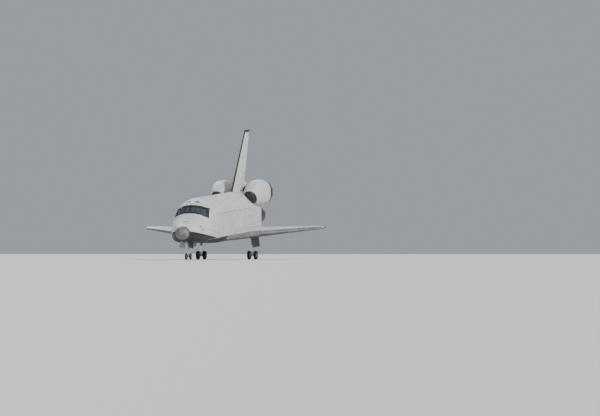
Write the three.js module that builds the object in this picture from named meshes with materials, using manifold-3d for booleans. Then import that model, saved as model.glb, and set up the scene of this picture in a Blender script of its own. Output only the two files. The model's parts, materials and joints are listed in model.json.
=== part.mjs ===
// A winged space shuttle orbiter, parked on its landing gear.
// Places follow the vehicle's own stations in inches: station grows aft from ahead of the nose,
// side grows to port and height grows up. Solids are in millimetres with +X forward and +Y port.
import * as THREE from "three";
import { mergeVertices } from "three/addons/utils/BufferGeometryUtils.js";
import Module from "manifold-3d";

const wasm = await Module();
wasm.setup();

// Driving dimensions
const inch = 25.4;
const middleStation = 970; // the station that lies at x = 0 before the part is centred
const seatGap = 0.3 / inch; // between pieces that rest on each other
const pinGap = 0.4 / inch; // beside a hinge knuckle
const swingGap = 0.3; // round a piece that moves
const ringSides = 30; // points round a fuselage section
const degree = Math.PI / 180;

const skin = { wall: 3, doorWall: 4, capStation: 262, cabinBack: 576, bayBack: 1304, aftEnd: 1512 };
const bay = { front: 583, back: 1301, radius: 91, axisHeight: 400, sill: 419.5 };
const bayHinge = { side: 103, height: 420, radius: 2.2, stations: [640, 790, 941, 1092, 1242] };
const hatch = { station: 510, height: 360, radius: 20, hingeSide: 104, hingeHeight: 338.4 };
const umbilical = { front: 1317, back: 1369, inner: 52, outer: 97, wall: 2, hingeHeight: 269.6 };
const elevon = { hinge: 1387, gap: 0.6, upCut: 40, downCut: 24, inner: 109.3, split: [312.5, 317], outer: 466 };
const flap = { hinge: 1532, height: 288, nose: 9.6, chord: 81, halfSpan: 120.7, edge: 1.2, lugs: [-62, 62] };
const fin = { root: 496, tip: 816, rootLead: 1274, leadSlope: 1, rootTrail: 1544.5, trailSlope: 0.492 };
const rudder = {
  low: 590.5, high: 781.5, cutLow: 586.2, cutHigh: 787.3, hingeAt: 0.6, foot: 592, head: 779.5,
  carrier: 0.7, bore: 0.07, room: 0.7, stretch: 1.218, nose: 123, sides: 32,
};
const mainGear = { station: 1172, side: 136, ground: 159, tyre: 22.25, width: 16, spread: 35 };
const noseGear = { station: 377, ground: 200.7, tyre: 16, width: 8.8, spread: 22 };
const mainWell = { front: 1040, back: 1196, inner: 110, outer: 166, roof: 312 };
const noseWell = { front: 292, back: 392, half: 20, roof: 336 };

// The vehicle stands on its wheels, so it is turned until both sets meet the ground
const parkedPitch = Math.atan2(noseGear.ground - mainGear.ground, mainGear.station - noseGear.station);

// Looks of the solids
const paint = (color, roughness, metalness = 0) =>
  new THREE.MeshStandardMaterial({ color, roughness, metalness });
const looks = {
  whiteTile: paint(0xdcdcd6, 0.75),
  blackTile: paint(0x1b1b1e, 0.6),
  carbon: paint(0x4c4d50, 0.55),
  glass: paint(0x101418, 0.1),
  metal: paint(0x8e8a84, 0.35, 0.9),
  darkMetal: paint(0x3f3c39, 0.4, 0.8),
  rubber: paint(0x141414, 0.85),
  gearWhite: paint(0xcfd0cc, 0.4),
  cabin: paint(0x777d80, 0.6),
};

// A point of the vehicle in millimetres
const at = (station, side, height) =>
  new THREE.Vector3((middleStation - station) * inch, side * inch, height * inch);

// A closed mesh as a solid that can be joined and cut
function solidOf(geometry, matrix) {
  const bare = geometry.clone();
  for (const name of Object.keys(bare.attributes)) {
    if (name !== "position") bare.deleteAttribute(name);
  }
  if (matrix) bare.applyMatrix4(matrix);
  const merged = mergeVertices(bare, 1e-3);
  const vertProperties = merged.attributes.position.array;
  const triVerts = new Uint32Array(merged.index.array);
  const make = () => new wasm.Manifold(new wasm.Mesh({ numProp: 3, vertProperties, triVerts }));
  const made = make();
  if (made.volume() > 0) return made;
  for (let i = 0; i < triVerts.length; i += 3) {
    [triVerts[i + 1], triVerts[i + 2]] = [triVerts[i + 2], triVerts[i + 1]];
  }
  return make();
}

// The triangles that close a flat ring of points, wound as the ring is
function ringCap(ring) {
  const normal = new THREE.Vector3();
  ring.forEach((p, i) => normal.add(p.clone().cross(ring[(i + 1) % ring.length])));
  const [nx, ny, nz] = normal.toArray().map(Math.abs);
  const flat = ring.map((p) => {
    if (nx >= ny && nx >= nz) return new THREE.Vector2(p.y, p.z);
    if (ny >= nz) return new THREE.Vector2(p.x, p.z);
    return new THREE.Vector2(p.x, p.y);
  });
  const turn = Math.sign(THREE.ShapeUtils.area(flat));
  return THREE.ShapeUtils.triangulateShape(flat, []).map(([a, b, c]) => {
    const own = Math.sign(THREE.ShapeUtils.area([flat[a], flat[b], flat[c]]));
    return own === turn ? [a, b, c] : [a, c, b];
  });
}

// A solid through rings that have like numbers of points
function loft(rings) {
  const count = rings[0].length;
  const points = rings.flat();
  const faces = ringCap(rings[0]).flat();
  const last = (rings.length - 1) * count;
  faces.push(...ringCap(rings[rings.length - 1]).flatMap(([a, b, c]) => [last + a, last + c, last + b]));
  for (let i = 0; i + 1 < rings.length; i++) {
    for (let j = 0; j < count; j++) {
      const [a, b] = [i * count + j, i * count + ((j + 1) % count)];
      faces.push(a, a + count, b, b, a + count, b + count);
    }
  }
  const geometry = new THREE.BufferGeometry().setFromPoints(points).setIndex(faces);
  return solidOf(geometry);
}

// A box between two corners
function block(stations, sides, heights) {
  const a = at(stations[0], sides[0], heights[0]);
  const b = at(stations[1], sides[1], heights[1]);
  const size = b.clone().sub(a);
  const box = new THREE.BoxGeometry(Math.abs(size.x), Math.abs(size.y), Math.abs(size.z));
  const centre = a.add(b).multiplyScalar(0.5);
  return solidOf(box, new THREE.Matrix4().makeTranslation(centre));
}

// A round bar or cone between two points, radii in inches
function bar(from, to, radius, endRadius = radius, sides = 20) {
  const line = to.clone().sub(from);
  const shape = new THREE.CylinderGeometry(endRadius * inch, radius * inch, line.length(), sides);
  const turn = new THREE.Quaternion().setFromUnitVectors(new THREE.Vector3(0, 1, 0), line.clone().normalize());
  const place = new THREE.Matrix4().compose(
    from.clone().add(to).multiplyScalar(0.5), turn, new THREE.Vector3(1, 1, 1));
  return solidOf(shape, place);
}

// A turned shape: profile rows are radius and distance along the axis from the origin
function turned(profile, origin, direction, sides = 32, start = 0) {
  const shape = new THREE.LatheGeometry(
    profile.map(([radius, along]) => new THREE.Vector2(radius * inch, along * inch)), sides, start);
  const turn = new THREE.Quaternion().setFromUnitVectors(new THREE.Vector3(0, 1, 0), direction.clone().normalize());
  return solidOf(shape, new THREE.Matrix4().compose(origin, turn, new THREE.Vector3(1, 1, 1)));
}

// A slab with an outline seen from above, rows of station and side
function slab(outline, low, high) {
  return loft([low, high].map((height) => outline.map(([station, side]) => at(station, side, height))));
}

const joined = (solids) => solids.reduce((whole, next) => whole.add(next));
const without = (whole, cuts) => cuts.reduce((rest, cut) => rest.subtract(cut), whole);
const sidesOfCraft = [["left", 1], ["right", -1]];

const orbiter = new THREE.Group();
function add(name, solid, look) {
  const made = solid.getMesh();
  const step = made.numProp;
  const positions = new Float32Array(made.numVert * 3);
  for (let i = 0; i < made.numVert; i++) {
    positions.set(made.vertProperties.subarray(i * step, i * step + 3), i * 3);
  }
  const geometry = new THREE.BufferGeometry();
  geometry.setAttribute("position", new THREE.BufferAttribute(positions, 3));
  geometry.setIndex(new THREE.BufferAttribute(made.triVerts, 1));
  const mesh = new THREE.Mesh(geometry, looks[look]);
  mesh.name = name;
  orbiter.add(mesh);
}

// Fuselage: station, half width, top, height of the widest place, bottom, bottom squareness
const noseRows = [
  [236, 1.6, 341.6, 340, 338.4, 2],
  [238.5, 11, 350.5, 340, 330, 2],
  [244, 19.5, 358, 339.5, 321.5, 2],
  [252, 28, 364.5, 339, 313, 2.1],
  [262, 35, 370, 338, 306.5, 2.2],
  [280, 47, 378, 337, 300, 2.4],
  [300, 57.5, 386, 336, 295.5, 2.6],
  [330, 69, 398, 336, 290, 2.9],
  [360, 79.5, 409, 337, 286.5, 3.2],
  [390, 87, 419.5, 340, 284, 3.6],
  [404, 90, 425, 344, 283.3, 3.8],
  [428, 94.2, 449, 352, 282, 4.2],
  [448, 97, 470, 360, 281, 4.5],
  [470, 99.3, 483, 370, 280, 5],
  [500, 102, 492, 381, 278.5, 5.5],
  [540, 103.6, 498.5, 392, 276, 7],
  [576, 104, 501.5, 398, 274, 9],
];
const midRows = [
  [576, 104, 501.5, 398, 274, 9],
  [620, 104, 502, 400, 272.5, 12],
  [1304, 104, 502, 400, 272, 12],
];
const aftRows = [
  [1304, 104, 502, 400, 272, 12],
  [1370, 104.5, 503, 400, 272.2, 12],
  [1450, 105, 503, 400, 274.5, 12],
  [1524, 105, 502, 400, 278, 12],
];

// One fuselage section, grown outwards by some inches
function section([station, half, top, middle, bottom, square], grow = 0) {
  return Array.from({ length: ringSides }, (_, i) => {
    const angle = (2 * Math.PI * (i + 0.5)) / ringSides;
    const [across, up] = [Math.cos(angle), Math.sin(angle)];
    const power = 2 / (up > 0 ? 2 : square);
    const reach = up > 0 ? top - middle : middle - bottom;
    return at(
      station,
      (half + grow) * Math.sign(across) * Math.abs(across) ** power,
      middle + (reach + grow) * Math.sign(up) * Math.abs(up) ** power);
  });
}

// A row of a section table at a station between its rows
function rowAt(rows, station) {
  const next = Math.max(1, rows.findIndex((row) => row[0] >= station));
  const [a, b] = [rows[next - 1], rows[next]];
  const share = (station - a[0]) / (b[0] - a[0]);
  return a.map((value, i) => value + (b[i] - value) * share);
}

// The fuselage between two stations
function hull(rows, from, to, grow = 0) {
  const kept = rows.filter(([station]) => station > from + 0.01 && station < to - 0.01);
  return loft([rowAt(rows, from), ...kept, rowAt(rows, to)].map((row) => section(row, grow)));
}

// Forward fuselage: a shell round the cabin, with a solid nose that the nose gear folds into
const windows = [
  // station and height of the centre, sideways angle, half width, half height
  { station: 426, height: 451, side: 13, turn: 8, half: 10.5, rise: 13 },
  { station: 430, height: 447, side: 38, turn: 30, half: 11.5, rise: 12 },
  { station: 442, height: 438, side: 67, turn: 58, half: 12.5, rise: 10 },
];
const overhead = { station: 486, side: 22, halfLength: 11, halfWidth: 11 };

function windowCutters(shrink = 0) {
  return sidesOfCraft.flatMap(([, hand]) => windows.map((row) => {
    const size = [60, 2 * (row.half - shrink), 2 * (row.rise - shrink)].map((value) => value * inch);
    const turn = new THREE.Euler(0, -35 * degree * Math.cos(row.turn * degree), hand * row.turn * degree, "ZYX");
    const place = new THREE.Matrix4().makeRotationFromEuler(turn);
    place.setPosition(at(row.station, hand * row.side, row.height));
    return solidOf(new THREE.BoxGeometry(...size), place);
  }));
}

const cabinFront = 398;
const cabinInside = (inset) => hull(noseRows, cabinFront, skin.cabinBack - 4, -inset);
const floorOfCabin = 392;
const noseWellCut = block([noseWell.front, noseWell.back], [-noseWell.half, noseWell.half], [240, noseWell.roof]);
const hatchAxis = (from, to, radius) =>
  bar(at(hatch.station, from, hatch.height), at(hatch.station, to, hatch.height), radius, radius, 40);
const overheadCuts = sidesOfCraft.map(([, hand]) => block(
  [overhead.station - overhead.halfLength, overhead.station + overhead.halfLength],
  [hand * (overhead.side - overhead.halfWidth), hand * (overhead.side + overhead.halfWidth)],
  [470, 520]));
const rcsBox = (grow) => block([306 - grow, 388 + grow], [-46 - grow, 46 + grow], [352 - grow, 460]);
const hatchPin = (from, to, radius = 1.8) => bar(
  at(hatch.station + from, hatch.hingeSide, hatch.hingeHeight),
  at(hatch.station + to, hatch.hingeSide, hatch.hingeHeight), radius);

const hatchArm = (beside, out) => block([hatch.station - 5 - beside, hatch.station + 5 + beside],
  [100 - out, hatch.hingeSide - 0.4 + out], [hatch.hingeHeight + 0.6 - out, hatch.hingeHeight + 5.6]);

const noseHull = hull(noseRows, skin.capStation + 2 * seatGap, skin.cabinBack);
const lowerDeck = block([cabinFront, skin.cabinBack - 4], [-98, 98], [384, 388]).intersect(cabinInside(skin.wall - 1));
add("nose_cap", hull(noseRows, noseRows[0][0], skin.capStation), "carbon");
add("forward_fuselage", without(
  without(noseHull, [cabinInside(skin.wall), ...windowCutters(), ...overheadCuts, noseWellCut, rcsBox(2 * seatGap)])
    .add(lowerDeck),
  [hatchAxis(60, 120, hatch.radius + 0.3), hatchPin(-5 - pinGap, 5 + pinGap, 2.1), hatchArm(pinGap, 1)])
  .add(joined([[-9, -5 - pinGap], [5 + pinGap, 9]].map(([from, to]) => hatchPin(from, to)
    .add(block([hatch.station + from, hatch.station + to], [101.5, 104], [337.4, 339.4]))))),
"whiteTile");
add("forward_thruster_module", noseHull.intersect(rcsBox(0)), "whiteTile");
add("windshield", cabinInside(skin.wall + seatGap).subtract(cabinInside(skin.wall + 1.2))
  .intersect(block([cabinFront + 8, 462], [-96, 96], [415, 480])), "glass");
add("overhead_windows", cabinInside(skin.wall + seatGap).subtract(cabinInside(skin.wall + 1.2))
  .intersect(block([470, 502], [-38, 38], [460, 500])), "glass");
add("side_hatch", hull(noseRows, 470, 550).subtract(hull(noseRows, 460, 560, -skin.wall))
  .intersect(hatchAxis(60, 120, hatch.radius))
  .add(hatchPin(-5, 5).add(hatchArm(0, 0)))
  .subtract(hatchPin(-9.2, -5).add(hatchPin(5, 9.2))), "whiteTile");

// The flight deck that shows through the windows
const deckTop = 388 + seatGap;
add("instrument_panel", block([436, 446], [-40, 40], [deckTop, 424]).add(block([430, 450], [-44, 44], [422, 426])),
  "cabin");
for (const [tag, hand] of sidesOfCraft) {
  const middle = hand * 24;
  add("crew_seat_" + tag, joined([
    block([456, 474], [middle - 9, middle + 9], [deckTop, 406]),
    block([472, 477], [middle - 9, middle + 9], [deckTop, 440]),
    block([472, 476], [middle - 5, middle + 5], [439, 449]),
  ]), "cabin");
}

// Payload bay: the hull is a trough with the bay's round space cut out
const baySpace = bar(at(bay.front - 8, 0, bay.axisHeight), at(bay.back, 0, bay.axisHeight), bay.radius, bay.radius, 48);
const bayKnuckle = (station, hand, radius, from, to) => bar(
  at(station + from, hand * bayHinge.side, bayHinge.height),
  at(station + to, hand * bayHinge.side, bayHinge.height), radius, radius, 8);
const knuckles = sidesOfCraft.flatMap(([, hand]) => bayHinge.stations.map((station) => [station, hand]));
const midHull = (grow = 0) => hull(midRows, skin.cabinBack + 2 * seatGap, skin.bayBack - 2 * seatGap, grow);
const openTop = block([bay.front, bay.back], [-120, 120], [bay.sill, 520]);
add("mid_fuselage", without(midHull(), [
  openTop,
  baySpace.intersect(block([bay.front, bay.back], [-120, 120], [250, 520])),
  ...knuckles.map(([station, hand]) => bayKnuckle(station, hand, bayHinge.radius + swingGap, -8.4, 8.4)),
]).add(joined(knuckles.map(([station, hand]) => bayKnuckle(station, hand, bayHinge.radius, -3, 3).add(
  block([station - 3, station + 3], [hand * 99, hand * (bayHinge.side + 0.6)], [412, bayHinge.height - 0.8]))))),
"whiteTile");

for (const [tag, hand] of sidesOfCraft) {
  const own = knuckles.filter(([, side]) => side === hand);
  const shell = hull(midRows, bay.front + 0.3, bay.back - 0.3)
    .subtract(hull(midRows, bay.front - 2, bay.back + 2, -skin.doorWall))
    .intersect(block([bay.front, bay.back], [hand * 0.15, hand * 120], [bay.sill + 1.7, 520]));
  add("payload_bay_door_" + tag, without(shell, own.map(([station]) =>
    bayKnuckle(station, hand, bayHinge.radius + swingGap, -3 - pinGap, 3 + pinGap)))
    .add(joined(own.flatMap(([station]) => [[-8, -3 - pinGap], [3 + pinGap, 8]].map(([from, to]) =>
      bayKnuckle(station, hand, bayHinge.radius, from, to)
        .add(block([station + from, station + to], [hand * 99.5, hand * 102.4], [420.5, 424])))))), "whiteTile");
}

// Wing: side, leading edge, thickest station, underside, thickness, height of the edge, fullness
const wingRows = [
  [88, 440, 1150, 272, 64, 297, 1.12],
  [106, 500, 1150, 272.3, 62.5, 297, 1.14],
  [124, 562, 1150, 273, 60, 297, 1.16],
  [162, 801, 1165, 275.5, 54, 297, 1.3],
  [199, 1035, 1190, 279, 47.5, 298, 1.65],
  [240, 1076, 1205, 283.5, 42, 300, 1.8],
  [330, 1166, 1260, 293, 32, 304.5, 1.85],
  [440, 1276, 1335, 304.2, 19.5, 311, 1.9],
  [462, 1299, 1349, 306.3, 16.8, 312.3, 1.9],
  [468.34, 1312, 1358, 308.6, 12, 313.5, 1.9],
];
const wingTrail = (side) => 1525.3 - side * Math.tan(10.056 * degree);
const trailHeight = (side) => 284.5 + (side - 105) * 0.0757;
const wingStepsAbove = [0, 0.012, 0.04, 0.1, 0.19, 0.32, 0.5, 0.72, 1];
const wingStepsBelow = [0.8, 0.45, 0.2, 0.07, 0.02];
const bulge = (share, power) => (1 - (1 - share) ** power) ** (1 / power);

function wingRing([side, lead, thick, low, depth, edge, power], hand) {
  const length = thick - lead;
  const [trail, end] = [wingTrail(side), trailHeight(side)];
  return [
    ...wingStepsAbove.map((share) =>
      at(lead + length * share, hand * side, edge + (low + depth - edge) * bulge(share, power))),
    at(trail, hand * side, end + 0.8),
    at(trail, hand * side, end - 0.8),
    ...[1, ...wingStepsBelow].map((share) =>
      at(lead + length * share, hand * side, edge - (edge - low) * bulge(share, 2.2))),
  ];
}

// The elevons turn on one straight line along the back of the wing
const hingeEnds = { inner: [105, 290.8, 10.6], outer: [468.34, 313.4, 5] }; // side, height, nose radius
function hingeAt(side) {
  const share = (side - hingeEnds.inner[0]) / (hingeEnds.outer[0] - hingeEnds.inner[0]);
  return hingeEnds.inner.map((value, i) => value + (hingeEnds.outer[i] - value) * share);
}

// The outline round the hinge at one side place: an arc ahead of the hinge and a box behind it
function hingeRing(side, hand, radius, fromAngle, toAngle, reach) {
  const [, height] = hingeAt(side);
  const arc = Array.from({ length: 13 }, (_, i) => fromAngle + ((toAngle - fromAngle) * i) / 12);
  const ahead = arc.map((angle) => [Math.cos(angle * degree) * radius, Math.sin(angle * degree) * radius]);
  const box = [[ahead.at(-1)[0], -reach], [200, -reach], [200, reach], [ahead[0][0], reach]];
  return [...ahead, ...box].map(([back, up]) => at(elevon.hinge + back, hand * side, height + up));
}
const hingeLoft = (sides, hand, grow, fromAngle, toAngle) => loft(sides.map((side) =>
  hingeRing(side, hand, hingeAt(side)[2] + grow, fromAngle, toAngle, 60)));
const hingePoint = (side, hand) => at(elevon.hinge, hand * side, hingeAt(side)[1]);
const hingeLean = (hingeEnds.outer[1] - hingeEnds.inner[1]) / (hingeEnds.outer[0] - hingeEnds.inner[0]);
const pinRadius = 3;
const hingeRod = (from, to, hand, radius) => bar(hingePoint(from, hand), hingePoint(to, hand), radius);

const hullGrown = joined([
  hull(noseRows, 300, skin.cabinBack, seatGap),
  hull(midRows, skin.cabinBack - 1, skin.bayBack + 1, seatGap),
  hull(aftRows, skin.bayBack, 1524, seatGap),
]);
const hullPlan = [[430, 84], [500, 92], [620, 95], [1530, 95]];
const edgeDepth = 15; // how far the carbon edge reaches back
const edgeOutline = (back) => [
  [640, 143], [1015, 199], [1292, 475], [1345, 475],
  [1312 + back + 3, 468.34 - 1], [1035 + back + 3, 199 + 0.6], [801 + back * 4.5, 162], [801 + back * 3.3, 143],
];
const [ribFrom, ribTo] = [elevon.split[0] + 0.8, elevon.split[1] - 0.8];

for (const [tag, hand] of sidesOfCraft) {
  const flip = (outline) => outline.map(([station, side]) => [station, hand * side]);
  const underHull = slab(flip([[430, 60], ...hullPlan, [1530, 60]]), 240, 360);
  const whole = loft(wingRows.map((row) => wingRing(row, hand))).subtract(hullGrown).subtract(underHull);
  const edge = slab(flip(edgeOutline(edgeDepth)), 240, 360);
  const edgeCut = slab(flip(edgeOutline(edgeDepth + 2 * seatGap)), 240, 360);
  const cove = hingeLoft([86, 480], hand, elevon.gap, 90 + elevon.upCut, 270 - elevon.downCut);
  const well = block([mainWell.front, mainWell.back], [hand * mainWell.inner, hand * mainWell.outer],
    [240, mainWell.roof]);
  const rib = loft([ribFrom, ribTo].map((side) => {
    const [, height, radius] = hingeAt(side);
    const round = Array.from({ length: 13 }, (_, i) => -90 + 15 * i);
    return [
      [-radius - 3, radius * 0.6], [-radius - 3, -radius * 0.6],
      ...round.map((a) => [Math.cos(a * degree) * radius * 0.75, Math.sin(a * degree) * radius * 0.75]),
    ].map(([back, up]) => at(elevon.hinge + back, hand * side, height + up));
  }));
  add("wing_" + tag, without(whole, [edgeCut, cove, well]).add(rib), "whiteTile");
  add("leading_edge_" + tag, whole.intersect(edge), "carbon");
  const rowsOfElevons = [
    ["inboard", elevon.inner, elevon.split[0], elevon.split[0] - 1, ribFrom - pinGap - pinRadius * hingeLean],
    ["outboard", elevon.split[1], elevon.outer, elevon.split[1] + 1, ribTo + pinGap + pinRadius * hingeLean],
  ];
  for (const [place, from, to, pinFrom, pinTo] of rowsOfElevons) {
    add(`elevon_${place}_${tag}`, whole.intersect(hingeLoft([from, to], hand, 0, 90, 270))
      .add(hingeRod(pinFrom, pinTo, hand, pinRadius)), "whiteTile");
  }
}

// Aft fuselage: a shell with the thrust frame across it, closed by a heat shield
const engines = [
  // name, gimbal station, side, height and the tilt upwards going aft
  { name: "upper", station: 1445, side: 0, height: 443, tilt: 16 },
  { name: "left", station: 1468.2, side: 53, height: 342.6, tilt: 10 },
  { name: "right", station: 1468.2, side: -53, height: 342.6, tilt: 10 },
];
const engineAxis = ({ tilt }) => new THREE.Vector3(-Math.cos(tilt * degree), 0, Math.sin(tilt * degree));
const enginePoint = (engine, along) => at(engine.station, engine.side, engine.height)
  .addScaledVector(engineAxis(engine), along * inch);
const gimbalRadius = 6;
const thrustPlate = [1424, 1432];
const shieldStations = [1506, 1512]; // fore and aft faces of the base heat shield
const flapBlock = (from, to, fromHeight, toHeight) => block([flap.hinge + from, flap.hinge + to],
  [-130, 130], [fromHeight, toHeight]);
const flapRod = (radius, half) => bar(at(flap.hinge, -half, flap.height), at(flap.hinge, half, flap.height), radius,
  radius, 40);
const doorPin = (hand, from, to, radius = 1.4) => bar(
  at(1343 + from, hand * umbilical.inner, umbilical.hingeHeight),
  at(1343 + to, hand * umbilical.inner, umbilical.hingeHeight), radius, radius, 16);
const umbilicalCut = (hand, grow) => block([umbilical.front - grow, umbilical.back + grow],
  [hand * (umbilical.inner - grow), hand * (umbilical.outer + grow)], [250, 290]);
const aftHull = (from, to, grow) => hull(aftRows, from, to, grow);
const aftSpace = aftHull(skin.bayBack + 5, 1523, -skin.wall - 2);
const flapLugs = flap.lugs.map((side) => [side - 4, side + 4]);

add("aft_fuselage", without(aftHull(skin.bayBack, skin.aftEnd + 8, 0), [
  aftSpace,
  block([shieldStations[0], 1540], [-130, 130], [304, 520]),
  flapRod(flap.nose + 0.7, 130),
  ...sidesOfCraft.map(([, hand]) => umbilicalCut(hand, 0.3)),
]).add(joined([
  block(thrustPlate, [-104, 104], [290, 486]).intersect(aftHull(1400, 1450, -skin.wall + 1)),
  block([1498, 1505], [-103, 103], [280, 303]).intersect(aftHull(1490, 1510, -skin.wall + 1)),
  ...engines.map((engine) => block(
    [thrustPlate[1] - 1, engine.station - gimbalRadius * Math.sin(engine.tilt * degree) - seatGap],
    [engine.side - 9, engine.side + 9], [engine.height - 9, engine.height + 9])),
  ...flapLugs.map(([from, to]) => block([1500, flap.hinge], [from, to], [flap.height - 5, flap.height + 5])
    .add(bar(at(flap.hinge, from, flap.height), at(flap.hinge, to, flap.height), 5))),
  ...sidesOfCraft.map(([, hand]) => doorPin(hand, -3, 3)
    .add(block([1340, 1346], [hand * 49.2, hand * (umbilical.inner - 0.6)], [umbilical.hingeHeight, 276]))),
])), "whiteTile");

for (const [tag, hand] of sidesOfCraft) {
  add("umbilical_door_" + tag, aftHull(1310, 1380, 0).subtract(aftHull(1308, 1384, -umbilical.wall))
    .intersect(umbilicalCut(hand, 0))
    .subtract(doorPin(hand, -3 - pinGap, 3 + pinGap, 1.8))
    .add(joined([[-7, -3 - pinGap], [3 + pinGap, 7]].map(([from, to]) => doorPin(hand, from, to)
      .add(block([1343 + from, 1343 + to], [hand * umbilical.inner, hand * (umbilical.inner + 2.4)],
        [umbilical.hingeHeight, 273]))))), "blackTile");
}

// Base heat shield with three round holes, and an engine through each of them
const holeRadius = 34;
add("base_heat_shield", without(
  aftHull(shieldStations[0] + seatGap, shieldStations[1], 0).intersect(
    block([1500, 1520], [-130, 130], [304 + seatGap, 520])),
  engines.map((engine) => bar(enginePoint(engine, 0), enginePoint(engine, 90), holeRadius, holeRadius, 18))),
"blackTile");

// Radius and distance aft of the gimbal, down the outside and back up the inside of the bell
const engineProfile = [
  [0, 0], [gimbalRadius, 0], [gimbalRadius, 3], [28, 12], [28, 40], [holeRadius - seatGap, 46],
  [holeRadius - seatGap, 68], [24, 80], [33.5, 106], [41, 134], [46.2, 160],
  [44.6, 160], [39.4, 134], [31.8, 106], [20, 80], [7, 60], [0, 60],
];
for (const engine of engines) {
  add("main_engine_" + engine.name, turned(engineProfile, enginePoint(engine, 0), engineAxis(engine), 18),
    "darkMetal");
}

// Pods for the manoeuvring engines: station, middle side, half width, middle height, half height
const podRows = [
  [1310, 86, 10, 478, 12],
  [1322, 87, 24, 482, 27],
  [1345, 88, 35, 485, 41],
  [1385, 89, 45, 488, 54],
  [1430, 90, 53, 490, 62],
  [1480, 91, 59, 491, 66],
  [1530, 92, 62, 491, 66],
  [1560, 92, 60, 490, 62],
];
const podSides = 22;
const podRing = ([station, side, half, height, rise], hand) => Array.from({ length: podSides }, (_, i) => {
  const angle = (2 * Math.PI * (i + 0.5)) / podSides;
  const [across, up] = [Math.cos(angle), Math.sin(angle)];
  return at(station, hand * (side + half * Math.sign(across) * Math.abs(across) ** 0.8),
    height + rise * Math.sign(up) * Math.abs(up) ** 0.8);
});
const podGap = 0.03; // the pods lie on the curved hull
const aftCut = aftHull(skin.bayBack, 1524, podGap);
const bellRoom = bar(enginePoint(engines[0], 66), enginePoint(engines[0], 170), 37, 52, 28);
const shieldCut = block([skin.aftEnd + seatGap, 1580], [-62, 62], [380, 600]);
const nozzle = { station: 1520, side: 90, height: 480, out: 6.5, up: 12, pocket: 26, exit: 21.6 };
const nozzleAxis = (hand) => new THREE.Vector3(
  -Math.cos(nozzle.up * degree), hand * Math.sin(nozzle.out * degree), Math.sin(nozzle.up * degree)).normalize();
const nozzlePoint = (hand, along) => at(nozzle.station, hand * nozzle.side, nozzle.height)
  .addScaledVector(nozzleAxis(hand), along * inch);
const nozzleProfile = [
  [0, 0], [9, 0], [9, 10], [6, 14], [10, 20], [14.5, 32], [18.5, 50], [nozzle.exit, 70],
  [nozzle.exit - 1, 70], [17.4, 50], [13.2, 32], [8.6, 20], [4, 14], [0, 12],
];
const thrusterBox = (hand) => block([1520, 1572], [hand * 118, hand * 152], [470, 512]);
for (const [tag, hand] of sidesOfCraft) {
  const pocket = bar(nozzlePoint(hand, -seatGap), nozzlePoint(hand, 80), nozzle.pocket, nozzle.pocket, 32);
  add("thruster_pod_" + tag, without(loft(podRows.map((row) => podRing(row, hand))).add(thrusterBox(hand)),
    [aftCut, aftHull(skin.aftEnd, 1524, 3), pocket, shieldCut, midHull(1)]), "whiteTile");
  add("pod_nozzle_" + tag, turned(nozzleProfile, nozzlePoint(hand, 0), nozzleAxis(hand), 16), "darkMetal");
}

// Fin: a wedge section, thickest at the rudder's hinge. The hinge leans, so a level cut through the
// round front of a panel is an ellipse: rudder.stretch is its length over its width. A panel's front
// reaches rudder.nose degrees round the hinge.
const finLead = (height) => fin.rootLead + (height - fin.root) * fin.leadSlope;
const finTrail = (height) => fin.rootTrail + (height - fin.root) * fin.trailSlope;
const finHinge = (height) => finLead(height) + (finTrail(height) - finLead(height)) * rudder.hingeAt;
const finHalf = (height) => (finTrail(height) - finLead(height)) * 0.0525;
const finShares = [[0, 0.06], [0.012, 0.22], [0.05, 0.4], [0.15, 0.6], [0.35, 0.83], [0.6, 1], [1, 0.07]];
function finRing(height, grow = 0) {
  const [lead, chord, half] = [finLead(height), finTrail(height) - finLead(height), finHalf(height)];
  const port = finShares.map(([share, thick]) =>
    [lead + chord * share + (share === 1 ? grow : 0), half * thick + grow]);
  const starboard = port.map(([station, side]) => [station, -side]).reverse();
  return [...port, ...starboard].map(([station, side]) => at(station, side, height));
}
const finWhole = loft([fin.root, fin.tip].map((height) => finRing(height)));
const finRoom = loft([fin.root, 640].map((height) => finRing(height, seatGap)));
const hingeOfRudder = (height) => at(finHinge(height), 0, height);
const rudderCone = (from, to, share, grow) => bar(hingeOfRudder(from), hingeOfRudder(to),
  finHalf(from) * share + grow, finHalf(to) * share + grow, rudder.sides);
const finCut = loft([rudder.cutLow, rudder.cutHigh].map((height) => {
  const front = finHinge(height) - rudder.stretch * (finHalf(height) + rudder.room) - rudder.room;
  return [[front, -40], [front + 320, -40], [front + 320, 40], [front, 40]]
    .map(([station, side]) => at(station, side, height));
}));
// The drive tube of the rudder stands on a pin in the fin, square to the hinge
const footPin = { radius: 3, top: 596, bottom: 574, sides: 20 };
const footHole = (footPin.radius + pinGap) / Math.cos(Math.PI / footPin.sides);
const footRod = (bottom, radius) =>
  bar(hingeOfRudder(bottom), hingeOfRudder(footPin.top), radius, radius, footPin.sides);
add("vertical_fin", finWhole.subtract(finCut).subtract(joined([
  aftCut, midHull(podGap), bellRoom, footRod(footPin.bottom - 1, footHole),
  block([1270, 1306], [-60, 60], [480, 506])])), "whiteTile");
const tubeLine = hingeOfRudder(rudder.head).sub(hingeOfRudder(rudder.foot));
const tubeProfile = [
  [0, 0], [finHalf(rudder.foot) * rudder.carrier, 0],
  [finHalf(rudder.head) * rudder.carrier, tubeLine.length() / inch], [0, tubeLine.length() / inch],
];
add("rudder_actuator_tube",
  turned(tubeProfile, hingeOfRudder(rudder.foot), tubeLine, rudder.sides, Math.PI / rudder.sides)
    .add(footRod(footPin.bottom, footPin.radius)), "darkMetal");
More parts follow.
